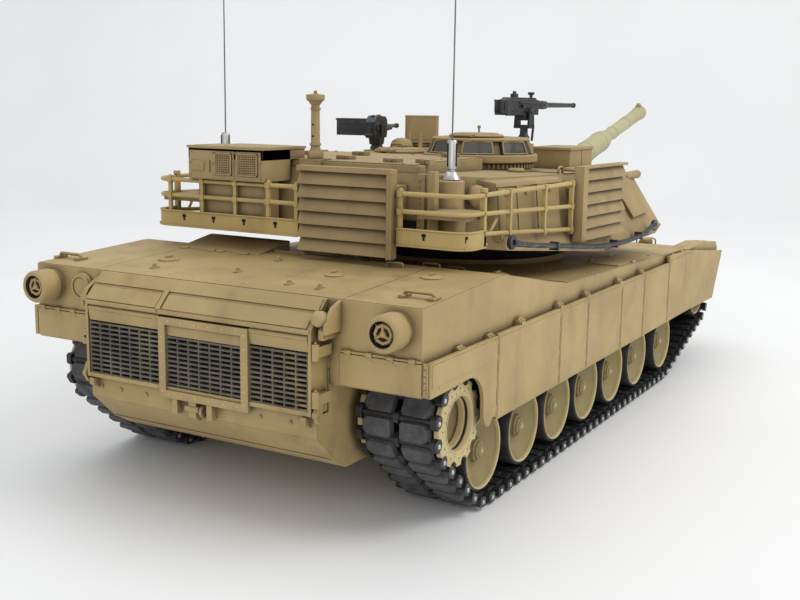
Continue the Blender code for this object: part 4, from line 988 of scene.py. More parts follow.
def make_skirt(side):
    """Seven armour panels with hinges and bolts, hung from brackets along the sponson."""
    kit = Kit()
    out, inner = side * SKIRT_Y, side * (SKIRT_Y - SKIRT_THICK)
    kit.prism(arch_outline(), inner, out - side * 0.25, "Y")
    edges = list(SKIRT_SEAMS) + [392.0]
    for k in range(5):
        x0, x1 = edges[k] + 0.3, edges[k + 1] - 0.3
        kit.prism([(x0, 85.2), (x0, SKIRT_BOTTOM), (x1, SKIRT_BOTTOM), (x1, 85.2)], inner,
                  out - side * 0.25, "Y")
    kit.prism([(334.8, 89.4), (334.8, SKIRT_BOTTOM), (392, SKIRT_BOTTOM), (457, 43.6), (478.6, 78.0),
               (381, 88.7)],
              inner, out - side * 0.25, "Y")
    # A raised face plate on each panel, and a folded lower edge.
    for k in range(5):
        x0, x1 = edges[k] + 1.2, edges[k + 1] - 1.2
        kit.box((x0, x1), (inner, out), (SKIRT_BOTTOM + 1.0, 83.6))
    kit.box((1.4, 63.4), (inner, out), (74.0, 83.4))
    kit.box((335.8, 391), (inner, out), (SKIRT_BOTTOM + 1.0, 86.5))
    for x in SKIRT_SEAMS:
        for z in (82.0, 74.5, 62.0, 50.5):
            kit.rod((x, side * (SKIRT_Y - 0.55), z - 1.3), (x, side * (SKIRT_Y - 0.55), z + 1.3), 0.5,
                    sides=10)
        for step in (-3.6, 3.6):
            for z in (80.0, 52.0):
                kit.rivet((x + step, out - side * 0.35, z), (0, side, 0), 0.55)
    # Clips over the top edge.
    for x in (93, 142.5, 181.5, 236, 278):
        kit.box((x - 3.2, x + 3.2), (side * 110.1, side * 113.4), (84.4, 87.2))
        kit.box((x - 2.2, x + 2.2), (side * 112.6, side * 114.2), (82.0, 86.4))
        kit.rod((x - 2.8, side * 111.9, 87.2), (x + 2.8, side * 111.9, 87.2), 0.75, sides=10)
        kit.bolt((x, side * 113.7, 83.6), (0, side, 0), 0.6, 0.4)
    for x in (30, 60, 350, 372, 410):
        top = 84.6 if x < 100 else 88.0 - (0.105 * (x - 372) if x > 372 else 0)
        kit.box((x - 3, x + 3), (side * 110.1, side * 112.9), (top - 1.8, top + 0.9))
        kit.rod((x - 2.6, side * 111.4, top + 0.9), (x + 2.6, side * 111.4, top + 0.9), 0.7, sides=10)
    for x in (20, 100, 160, 210, 262, 310, 400):
        kit.box((x - 4, x + 4), (side * 110.3, side * 112.6), (77.5, 81.0))
    for x, z in ((8, 78), (8, 73), (380, 83), (400, 81), (430, 78), (450, 66)):
        kit.bolt((x, out - side * 0.3, z), (0, side, 0), 0.7, 0.28)
    kit.lathe([(0, 0.1), (2.6, 0.1), (3.0, -0.3), (3.0, -1.2), (0, -1.2)], (428, out - side * 0.2, 62),
              (0, side, 0), 24)
    name = "right" if side < 0 else "left"
    kit.done(f"{name}_skirt_panels", "hull", "hull_paint", (hull_paint,), 0.22, (f"{name}_skirt",))


# ---------------------------------------------------------------- turret

LOWER = ((88, 0, 119), (88, -56, 119), (116, -94, 116.2), (234, -104, 103.5), (328, -105, 105.5),
         (344, -103.5, 109.5), (366, -21, 106), (366, 0, 106))
UPPER = ((93, 0, 154), (93, -54, 153.6), (117, -80, 151.6), (205, -87, 149.6), (300, -88, 146.5),
         (338, -84, 142.0), (350, -21, 145.5), (350, 0, 145.5))
CUPOLA = (COMMANDER_HINGE[0] + 26.5, COMMANDER_HINGE[1])
LOADER_RING = (LOADER_HINGE[0] + 20.0, LOADER_HINGE[1])
ANTENNA = (99.8, 70.1)
RACK_X = 69.0
RACK_Y = 95.4


def both_sides(half):
    return list(half) + [(x, -y, z) for x, y, z in half[-2:0:-1]]


def louvre_bank(kit, place, width, height, slats, post_left=0.0, post_right=0.0, cap=0.0):
    """Slanted slats in a frame. In its own place: u across from 0 to width, v up, w outwards."""
    old = kit.place
    kit.place = old @ place
    low, high = 0.0, height - cap
    step = (high - low) / slats
    left, right = post_left, width - post_right
    for k in range(slats):
        v = low + step * k
        section = [(0.0, v + step * 0.98), (0.6, v + step * 0.98), (3.4, v + 0.9), (3.4, v + 0.15),
                   (2.6, v + 0.0),
                   (0.0, v + step * 0.25)]
        points = [(left, y, w) for w, y in section] + [(right, y, w) for w, y in section]
        n = len(section)
        sides = [(i, (i + 1) % n, n + (i + 1) % n, n + i) for i in range(n)]
        kit.solid(points, [tuple(range(n))[::-1], tuple(range(n, 2 * n))] + sides)
    if post_left:
        kit.box((0, post_left), (0, high), (-1.5, 3.9))
    if post_right:
        kit.box((width - post_right, width), (-0.6, high), (-1.5, 3.9))
    if cap:
        kit.box((0, width), (height - cap, height), (-1.5, 3.9))
    kit.place = old


def make_turret_shell():
    kit = Kit()
    kit.loft(both_sides(LOWER), both_sides(UPPER))
    shell = kit.done("turret_armour", "turret", "turret_paint", (turret_paint,), 0.6)
    cutter_kit = Kit()
    cutter_kit.box((TRUNNION[0] - 23.5, 400), (-22, 22), (90, 170))
    bmesh.ops.recalc_face_normals(cutter_kit.bm, faces=cutter_kit.bm.faces[:])
    bmesh.ops.transform(cutter_kit.bm, matrix=Matrix.Translation((REAR, 0, 0)) @ Matrix.Scale(MM, 4),
                        verts=cutter_kit.bm.verts[:])
    mesh = bpy.data.meshes.new("notch")
    cutter_kit.bm.to_mesh(mesh)
    cutter_kit.bm.free()
    notch = bpy.data.objects.new("notch", mesh)
    bpy.context.scene.collection.objects.link(notch)
    cut = shell.modifiers.new("notch", "BOOLEAN")
    cut.object = notch
    cut.operation = "DIFFERENCE"
    cut.solver = "EXACT"
    shell.modifiers.move(len(shell.modifiers) - 1, 0)
    bpy.context.view_layer.update()
    graph = bpy.context.evaluated_depsgraph_get()
    solid = bpy.data.meshes.new_from_object(shell.evaluated_get(graph))
    shell.modifiers.clear()
    shell.data = solid
    bpy.data.objects.remove(notch)
    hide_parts("turret_shell")

    kit = Kit()
    # The turret ring's seat in the shadow material: painted shadow under the turret.
    kit.lathe([(0, 112), (68, 112), (68, 103.2), (66, 102.9), (0, 102.9)], (RING[0], 0, 0), (0, 0, 1), 72,
              2)
    # Rear roof plates, raised over the ammunition bay.
    kit.prism([(94, -56), (112, -50), (150.4, -46.6), (150.4, 60), (94, 60)], 151, 157.2, "Z")
    kit.prism([(151.0, -46.5), (190, -43.6), (190, 60), (151.0, 60)], 150, 157.2, "Z")
    kit.prism([(95.6, -53), (111, -48), (149.4, -44.8), (149.4, 1.4), (95.6, 1.4)], 157, 157.9, "Z")
    kit.prism([(95.6, 2.4), (149.4, 2.4), (149.4, 58.8), (95.6, 58.8)], 157, 157.9, "Z")
    kit.prism([(152, -44.6), (189, -42), (189, 58.8), (152, 58.8)], 157, 157.7, "Z")
    for x, y in ((112.1, -0.8), (155.4, 16.9), (105.2, -33.7), (109.9, -50.0), (140, 40), (176, -30)):
        kit.box((x - 3.2, x + 3.2), (y - 4.2, y + 4.2), (157.4, 160.0))
        kit.box((x - 4.0, x + 4.0), (y - 1.0, y + 1.0), (157.4, 159.4))
    for x, y in ((98, -44), (98, 20), (98, 52), (146, -40), (146, -12), (146, 54), (156, 54), (186, 54),
                 (186, 0)):
        kit.bolt((x, y, 157.7), (0, 0, 1), 0.9, 0.6)
    # Sight box in front of the cupola.
    kit.prism([(284, -33), (284, -60), (324.6, -60), (327, -57.6), (327, -35.4), (324.6, -33)], 140, 159.2,
              "Z")
    kit.prism([(283.2, -32.2), (283.2, -60.8), (325.2, -60.8), (327.8, -58.2), (327.8, -34.6),
               (325.2, -32.2)],
              159.2, 160.8, "Z")
    kit.box((326.8, 327.9), (-56.4, -36.6), (146.5, 157.0), 1)
    kit.box((305.0, 305.8), (-60.35, -59.5), (142, 159.4))
    for x in (290, 300, 312, 320):
        kit.rivet((x, -60.0, 156.6), (0, -1, 0), 0.45)
    # Stands for the hatches, the viewer and the loader's gun.
    kit.lathe([(0, 158.4), (13, 158.4), (13.6, 157.6), (13.6, 146), (0, 146)], (VIEWER[0], VIEWER[1], 0),
              (0, 0, 1), 40)
    kit.lathe([(0, 157.0), (21.5, 157.0), (25, 156.2), (25.4, 148), (0, 148)], (*LOADER_RING, 0),
              (0, 0, 1), 48)
    kit.lathe([(0, 153.4), (30.6, 153.4), (31.0, 152.6), (31.4, 147), (0, 147)], (*CUPOLA, 0), (0, 0, 1),
              56)
    kit.box((234, 246), (51, 64), (146, 157.0))
    teeth = 72
    for k in range(teeth):
        angle = 2 * math.pi * k / teeth
        turn = Matrix.Translation((*CUPOLA, 0)) @ Matrix.Rotation(angle, 4, "Z")
        kit.place = turn
        kit.box((30.4, 32.4), (-0.75, 0.75), (150.8, 153.3))
    kit.place = Matrix.Identity(4)
    # The roof's rim over the stowage boxes, and the boxes themselves.
    for side in (-1, 1):
        def y(value):
            return side * value
        kit.loft([(114, y(78), 147.4), (112.4, y(88.6), 147.4), (189, y(94.4), 146.4), (189, y(84), 146.4)],
                 [(114, y(76), 151.0), (112.8, y(88.0), 149.4), (189, y(93.6), 148.2), (189, y(82), 149.8)])
        for x0, x1 in ((113.6, 132.8), (133.6, 155.4), (156.2, 183.4)):
            y0, y1 = (91.0 + 4.2 * (x - 114) / 74 for x in (x0, x1))
            kit.loft([(x0, y(88), 121.5), (x0, y(y0 + 0.6), 121.5), (x1, y(y1 + 0.6), 118.9),
                      (x1, y(88), 118.9)],
                     [(x0, y(78), 147.2), (x0, y(y0 - 2.0), 147.2), (x1, y(y1 - 2.0), 146.2),
                      (x1, y(80), 146.2)])
        kit.loft([(112.8, y(88), 120.6), (112.8, y(91.0), 120.6), (187.6, y(95.0), 118.0),
                  (187.6, y(88), 118.0)],
                 [(112.8, y(78), 147.6), (112.8, y(88.0), 147.6), (187.6, y(91.6), 146.6),
                  (187.6, y(80), 146.6)])
        for x in (122, 144, 172):
            wide = 91.0 + 4.2 * (x - 114) / 74
            kit.box((x - 2, x + 2), (y(wide - 2.4), y(wide - 0.8)), (142.5, 144.6))
        # Cheek: smoke launchers, a folded bracket, lifting eyes and seams.
        kit.rod((316, y(85.5), 142.4), (344.4, y(85.5), 142.4), 2.7, sides=24)
        kit.ball((344.2, y(85.5), 142.4), 2.7)
        kit.loft([(292, y(95), 118.5), (292, y(101.6), 118.5), (324, y(101.6), 120.0), (324, y(95), 120.0)],
                 [(280, y(84), 139), (280, y(92.2), 139), (312, y(91.8), 138), (312, y(84), 138)])
        kit.sweep([(205, y(87.3), 149.9), (300, y(88.3), 146.8), (338, y(84.4), 142.3)], 0.4, 8)
        kit.sweep([(234, y(104.1), 103.8), (328, y(105.0), 105.8), (344, y(103.6), 109.7)], 0.45, 8)
        for x, wide, z in ((268, 86, 147.8), (306, 82, 146.4), (208, 84, 150.0)):
            kit.sweep(rounded([(x - 3, y(wide), z - 1), (x - 3, y(wide), z + 3), (x + 3, y(wide), z + 3),
                               (x + 3, y(wide), z - 1)], 2.4), 0.8, 10)
        # Antenna socket.
        kit.lathe([(0, 150.9), (5.6, 150.9), (6.7, 150.2), (6.9, 137), (7.6, 135.6), (7.6, 124), (0, 124)],
                  (ANTENNA[0], y(ANTENNA[1]), 0), (0, 0, 1), 36)
        kit.ball((106.5, y(80.8), 143.0), 5.2, squash=1.1)
        kit.box((84.4, 88.6), (y(65.4), y(69.2)), (119.6, 155.6))
        kit.box((86.4, 90), (y(58.4), y(62.6)), (120.0, 154.0))
        for k in range(11):
            kit.bolt((86.3, y(59.6), 123.5 + 2.7 * k), (-1, 0, 0), 0.55, 0.5)
        # A near-black block in the shadow material: painted shade.
        kit.box((86.6, 90.0), (y(47.0), y(58.2)), (121.0, 131.0), 2)
        kit.loft([(73.5, y(66), 134.0), (73.5, y(92), 134.0), (96, y(92), 134.0), (96, y(66), 134.0)],
                 [(73.5, y(67), 136.8), (73.5, y(92), 136.8), (96, y(92), 137.4), (96, y(67), 137.4)])
        louvre_bank(kit, Matrix(((1, 0, 0, 190), (4 / 62 * side, 0, side, y(101.3)), (0, 1, 0, 113.5),
                                 (0, 0, 0, 1))),
                    62, 41.5, 6, post_left=6.0, cap=1.4)
        kit.loft([(191, y(99.2), 113.9), (191, y(101.4), 113.9), (251.6, y(105.2), 113.9),
                  (251.6, y(103.0), 113.9)],
                 [(191, y(99.2), 154.6), (191, y(101.4), 154.6), (251.6, y(105.2), 154.6),
                  (251.6, y(103.0), 154.6)])
        for x in (204, 238):
            kit.box((x - 1.5, x + 1.5), (y(84), y(101)), (136, 142))
    # Front roof: welds, bolts and the crosswind mast's pad.
    for x, y0, y1 in ((268, -30, 28), (300, -30, 80), (206, -84, -60)):
        z = 151.0 - 0.036 * (x - 205)
        kit.sweep([(x, y0, z - 0.9), (x, y1, z - 0.9)], 0.4, 8)
    kit.box((91, 103), (2.5, 14.5), (150, 158.6))
    kit.lathe([(0, 152.0), (4.0, 152.0), (5.0, 151.0), (5.0, 148), (0, 148)], (196, -62, 0), (0, 0, 1), 28)
    kit.lathe([(0, 150.6), (6.0, 150.2), (7.0, 149.2), (7.0, 147), (0, 147)], (256, -74, 0), (0, 0, 1), 28)
    kit.done("turret_fittings", "turret", "turret_paint", (turret_paint, sight_glass, shadow_black), 0.25)

    # The rear louvres take the darker sand: painted shade on the rear face.
    kit = Kit()
    louvre_bank(kit, Matrix(((0, 0, -1, 69.8), (-1, 0, 0, -1.3), (0, 1, 0, 114.5), (0, 0, 0, 1))), 54.7,
                42.4, 6,
                post_right=3.0, cap=2.6)
    kit.box((69.4, 72.0), (-55.4, -1.7), (114.7, 156.4))
    kit.box((71, 96), (-50, -8), (125, 148))
    kit.done("rear_louvres", "turret", "turret_paint", (rear_shade_sand,), 0.2)


def rack_path(z, inset=0.0):
    """The rail round the back of the turret at one height, right end first."""
    x, y, r = RACK_X + inset, RACK_Y - inset, 9.0
    corner = [(x + r - r * math.sin(a), y - r + r * math.cos(a), z) for a in
              (math.radians(7.5 * k) for k in range(13))]
    left = [(88, y, z)] + corner
    return [(px, -py, pz) for px, py, pz in left] + left[::-1]


def make_rack():
    kit = Kit()
    outer, inner = rack_path(0), rack_path(0, 1.6)
    half = len(outer) // 2
    right = [(p[0], p[1]) for p in outer[:half]] + [(69.0, -57.0), (70.6, -57.0)]
    right += [(p[0], p[1]) for p in reversed(inner[:half])]
    left = [(69.0, 0.0)] + [(p[0], p[1]) for p in outer[half:]]
    left += [(p[0], p[1]) for p in reversed(inner[half:])] + [(70.6, 0.0)]
    for outline in (right, left):
        kit.prism(outline, 120.8, 129.3, "Z")
    for z in (121.0, 129.0):
        kit.sweep([(x - 0.1, y, z) for x, y, _ in outer[:half]] + [(68.9, -57, z)], 0.5, 8)
        kit.sweep([(68.9, 0, z)] + [(x - 0.1, y, z) for x, y, _ in outer[half:]], 0.5, 8)
    kit.prism([(71, -56.6), (71, -93.4), (94, -93.4), (94, -56.6)], 120.9, 122.4, "Z")
    kit.prism([(71, -0.9), (94, -0.9), (94, 93.4), (71, 93.4)], 120.9, 122.4, "Z")
    for z in (137.2, 145.6):
        path = rack_path(z, 1.0)
        kit.sweep(path[:half] + [(RACK_X + 1, -57.4, z)], 1.15, 12)
        kit.sweep([(RACK_X + 1, 0.3, z)] + path[half:], 1.15, 12)
    for y in (-58.6, 1.3, 19, 40, 62, 84):
        kit.box((RACK_X + 0.1, RACK_X + 1.9), (y - 1, y + 1), (128, 147.0))
        kit.ball((RACK_X + 1.0, y, 147.0), 1.3)
        for z in (137.2, 145.6):
            kit.box((RACK_X - 0.5, RACK_X + 2.3), (y - 1.4, y + 1.4), (z - 1.5, z + 1.5))
    for y in (-92.4, -72.0, 14.0, 34.0, 54.0, 74.0):
        x = 68.8 if abs(y) < 86 else 71.6
        # Small near-black pieces in the shadow material: painted shade in the slots.
        kit.box((x - 0.15, x + 1.0), (y - 1.1, y + 1.1), (126.0, 127.4), 1)
        kit.box((x - 0.15, x + 1.0), (y - 0.5, y + 0.5), (124.2, 127.0), 1)
    for side in (-1, 1):
        kit.box((85.6, 88), (side * RACK_Y, side * 92.6), (120.8, 147.2))
        kit.rod((86.8, side * 94.2, 147.0), (86.8, side * 94.2, 149.0), 1.9, sides=14)
        for z0, z1 in ((145.8, 145.8), (137, 133.2), (127.5, 120.5)):
            kit.rod((86, side * 95.0, z0), (189, side * 99.5, z1), 1.15, sides=12)
        for x, foot in ((112, 125.2), (152, 122.4), (187, 119.7)):
            y = 95.0 + 4.5 * (x - 86) / 103
            kit.box((x - 1.1, x + 1.1), (side * (y - 1.2), side * (y + 1.2)), (foot - 1.6, 147.4))
            kit.rod((x, side * (y - 3.4), foot), (x, side * y, foot), 1.0, sides=10)
            kit.rod((x, side * (y - 4.0), 145.8), (x, side * y, 145.8), 1.0, sides=10)
            share = (x - 86) / 103
            for z in (145.8, 137 - 3.8 * share, 127.5 - 7.0 * share):
                kit.box((x - 1.5, x + 1.5), (side * (y - 1.5), side * (y + 1.5)), (z - 1.5, z + 1.5))
        kit.rod((95, side * 93.6, 127.0), (101, side * 94.6, 133.6), 0.8, sides=8)
    kit.done("rack_rails", "turret", "rail_paint", (rail_paint, shadow_black), 0.18, ("bustle_rack",))


def vent(kit, x, y0, y1, z0, z1):
    """A bolted mesh vent on the box's rear face."""
    # Near-black behind the mesh, in the shadow material: painted shade in the vent.
    kit.box((x - 0.35, x + 0.3), (y0, y1), (z0, z1), 1)
    for y in (y0, y1 - 0.7):
        kit.box((x - 0.9, x + 0.3), (y, y + 0.7), (z0, z1))
    for z in (z0, z1 - 0.7):
        kit.box((x - 0.9, x + 0.3), (y0, y1), (z, z + 0.7))
    count = round((y1 - y0) / 1.15)
    for k in range(1, count):
        y = y0 + (y1 - y0) * k / count
        kit.box((x - 0.65, x), (y - 0.22, y + 0.22), (z0, z1))
    count = round((z1 - z0) / 1.15)
    for k in range(1, count):
        z = z0 + (z1 - z0) * k / count
        kit.box((x - 0.65, x), (y0, y1), (z - 0.22, z + 0.22))


def make_equipment_box():
    kit = Kit()
    kit.box((67.3, 91.0), (20.2, 68.8), (147.0, 163.0))
    kit.prism([(67.3, 20.2), (104, 20.2), (104, 63.0), (92, 63.0), (92, 68.8), (67.3, 68.8)], 157.8, 163.0,
              "Z")
    kit.prism([(66.6, 19.6), (104.6, 19.6), (104.6, 63.4), (93.0, 63.4), (93.0, 69.4), (66.6, 69.4)],
              163.0, 164.4, "Z")
    kit.box((72, 86), (24, 66), (123.0, 148))
    kit.box((67.0, 67.6), (21.4, 37.4), (147.6, 161.9))
    kit.box((67.0, 67.6), (38.6, 68.0), (147.6, 161.9))
    vent(kit, 67.1, 39.8, 50.6, 149.6, 161.2)
    vent(kit, 67.1, 23.2, 36.2, 149.6, 161.2)
    for y in (22.2, 37.6, 52.2, 67.4):
        for z in (148.8, 155.4, 161.0):
            kit.bolt((67.0, y, z), (-1, 0, 0), 0.5, 0.4)
    kit.box((66.6, 67.8), (58.0, 66.4), (151.6, 156.6))
    kit.rod((66.9, 62.0, 154.0), (66.5, 62.0, 154.0), 1.4, sides=18)
    kit.sweep(rounded([(66.9, 54.4, 151.0), (66.55, 54.4, 151.4), (66.55, 54.4, 156.6),
                       (66.9, 54.4, 157.0)], 0.4),
              0.35, 8)
    for y in (26, 45, 64):
        kit.box((70, 76), (y - 2.4, y + 2.4), (164.2, 164.6))
    kit.done("auxiliary_box", "turret", "turret_paint", (turret_paint, shadow_black), 0.28,
             ("equipment_box",))


def make_mast():
    """The wind sensor on its mast, and both whip antennas."""
    kit = Kit()
    x, y = 97.0, 8.5
    kit.lathe([(0, 162.6), (4.6, 162.6), (5.2, 161.8), (5.2, 158.8), (0, 158.8)], (x, y, 0), (0, 0, 1), 4)
    kit.lathe([(0, 187.0), (2.3, 187.0), (2.5, 164.5), (3.2, 162.4), (0, 162.2)], (x, y, 0), (0, 0, 1), 8)
    kit.lathe([(2.9, 184.4), (2.9, 183.6), (2.2, 183.6), (2.2, 184.4)], (x, y, 0), (0, 0, 1), 24)
    kit.lathe([(3.0, 166.4), (3.0, 165.2), (2.2, 165.2), (2.2, 166.4)], (x, y, 0), (0, 0, 1), 24)
    kit.lathe([(0, 193.5), (0.8, 193.3), (1.0, 192.0), (1.6, 191.6), (4.9, 191.3), (5.1, 190.8),
               (4.9, 188.6),
               (3.6, 187.6), (2.7, 186.2), (0, 186.0)], (x, y, 0), (0, 0, 1), 10)
    for z in (170, 176):
        # Near-black discs in the shadow material: painted shade in the holes.
        kit.lathe([(0, 0.35), (0.6, 0.3), (0.6, -0.4), (0, -0.4)], (x - 2.2, y, z), (-1, 0, 0), 10, 1)
    kit.done("wind_sensor_mast", "turret", "turret_paint", (turret_paint, shadow_black), 0.18,
             ("wind_sensor",))
    for side, name in ((-1, "right"), (1, "left")):
        kit = Kit()
        kit.lathe([(0, 329.6), (0.26, 329.4), (0.38, 171.0), (0.5, 169.0), (0, 169.0)],
                  (ANTENNA[0], side * ANTENNA[1], 0), (0, 0, 1), 12, 2)
        kit.lathe([(0, 170.4), (2.1, 170.2), (2.35, 169.8), (2.35, 156.4),
                   (1.7, 156.0), (1.7, 155.4), (2.6, 154.8), (4.2, 152.0), (4.6, 151.3), (0, 151.2)],
                  (ANTENNA[0], side * ANTENNA[1], 0), (0, 0, 1), 28)
        # Near-black strips in the shadow material: painted shade in the socket's grooves.
        for k in range(3):
            angle = 2 * math.pi * k / 3 + 0.5
            spot = (ANTENNA[0] + 2.36 * math.cos(angle), side * ANTENNA[1] + 2.36 * math.sin(angle))
            kit.box((spot[0] - 0.3, spot[0] + 0.3), (spot[1] - 0.3, spot[1] + 0.3), (157.6, 168.8), 1)
        kit.done(f"{name}_whip_antenna", "turret", "antenna_steel", (steel, shadow_black, whip_grey), 0.0,
                 (f"{name}_antenna",))


def make_cupola():
    """The commander's station: a bearing flange, slanted vision blocks and a flat lid ring over them."""
    kit = Kit()
    x, y = CUPOLA
    kit.lathe([(0, 158.6), (33.8, 158.6), (34.4, 158.0), (34.4, 154.6), (33.8, 153.9), (0, 153.9)],
              (x, y, 0),
              (0, 0, 1), 72)
    kit.lathe([(26.2, 167.0), (29.6, 158.4), (24.0, 158.4), (24.0, 167.0)], (x, y, 0), (0, 0, 1), 64)
    kit.lathe([(14.0, 168.0), (28.4, 168.0), (29.4, 167.4), (29.2, 166.4), (14.0, 166.4)], (x, y, 0),
              (0, 0, 1), 64)
    for k in range(8):
        kit.place = Matrix.Translation((x, y, 0)) @ Matrix.Rotation(math.pi * (2 * k + 1) / 8, 4, "Z")
        kit.loft([(28.0, -9.4, 158.6), (30.6, -9.4, 158.6), (30.6, 9.4, 158.6), (28.0, 9.4, 158.6)],
                 [(25.4, -8.4, 166.5), (27.9, -8.4, 166.5), (27.9, 8.4, 166.5), (25.4, 8.4, 166.5)], 1)
        for a, b in (((30.8, -9.2, 159.2), (28.2, -8.2, 166.0)), ((30.8, 9.2, 159.2), (28.2, 8.2, 166.0)),
                     ((30.8, -9.2, 159.2), (30.8, 9.2, 159.2)), ((28.2, -8.2, 166.0), (28.2, 8.2, 166.0))):
            kit.rod(a, b, 0.5, sides=8)
        kit.bolt((32.4, 0, 158.5), (0, 0, 1), 0.7, 0.5)
    for k in range(16):
        kit.place = Matrix.Translation((x, y, 0)) @ Matrix.Rotation(math.pi * (2 * k + 1) / 16, 4, "Z")
        kit.bolt((34.3, 0, 156.2), (1, 0, 0), 0.55, 0.2)
        kit.rivet((27.4, 0, 168.0), (0, 0, 1), 0.4)
    kit.place = Matrix.Identity(4)
    kit.rod((x + 11.2, y + 6.7, 167.0), (x + 11.2, y + 6.7, 173.4), 0.6, sides=10)
    kit.ball((x + 11.2, y + 6.7, 173.8), 1.1)
    kit.box((x + 25, x + 50), (y - 13.5, y - 3.5), (157, 163.2))
    kit.lathe([(0, 164.2), (3.8, 164.2), (4.6, 163.6), (4.6, 163.0), (0, 163.0)],
              (MG_PIVOT[0], MG_PIVOT[1], 0),
              (0, 0, 1), 28)
    kit.done("cupola_ring", "turret", "turret_paint", (turret_paint, sight_glass), 0.2,
             ("commander_cupola",))

    kit = Kit()
    x, y = CUPOLA[0] - 6, CUPOLA[1]
    kit.lathe([(0, 170.6), (11.5, 170.4), (15.6, 169.9), (16.4, 169.2), (16.4, 168.5), (0, 168.5)],
              (x, y, 0),
              (0, 0, 1), 56)
    kit.lathe([(12.4, 170.3), (13.0, 170.7), (13.6, 170.2), (12.4, 170.0)], (x, y, 0), (0, 0, 1), 56)
    for side in (-1, 1):
        kit.box((x - 20.3, x - 13), (y + side * 3.4, y + side * 6), (168.5, 170.3))
    kit.rod((COMMANDER_HINGE[0] + 0.3, y - 6.4, 169.4), (COMMANDER_HINGE[0] + 0.3, y + 6.4, 169.4), 0.9,
            sides=14)
    for k in range(8):
        angle = math.pi * k / 4
        kit.rivet((x + 9.6 * math.cos(angle), y + 9.6 * math.sin(angle), 170.5), (0, 0, 1), 0.45)
    kit.done("commander_hatch_lid", "commander_hatch", "turret_paint", (turret_paint,), 0.15,
             ("commander_hatch",))


def make_loader_hatch():
    kit = Kit()
    x, y = LOADER_RING
    kit.lathe([(0, 160.3), (8, 160.2), (13, 159.7), (15.6, 158.9), (16.5, 157.9), (16.5, 157.3),
               (0, 157.3)],
              (x, y, 0), (0, 0, 1), 56)
    kit.lathe([(13.2, 159.7), (13.9, 159.9), (14.5, 159.3), (13.2, 159.1)], (x, y, 0), (0, 0, 1), 56)
    for step in (-3.6, 3.6):
        kit.box((x - 21, x - 13), (y + step - 1.2, y + step + 1.2), (157.4, 159.5))
    kit.rod((LOADER_HINGE[0], y - 5.4, 158.5), (LOADER_HINGE[0], y + 5.4, 158.5), 1.0, sides=14)
    kit.box((x + 2, x + 9), (y - 4, y + 4), (159.4, 161.4))
    kit.sweep(rounded([(x - 5, y - 4, 159.8), (x - 5, y - 4, 162.4), (x - 5, y + 4, 162.4),
                       (x - 5, y + 4, 159.8)],
                      1.6), 0.6, 10)
    kit.done("loader_hatch_lid", "loader_hatch", "turret_paint", (turret_paint,), 0.15, ("loader_hatch",))


def gun_turn(centre, degrees):
    centre = Vector(centre)
    return (Matrix.Translation(centre) @ Matrix.Rotation(math.radians(degrees), 4, "Z")
            @ Matrix.Translation(-centre))


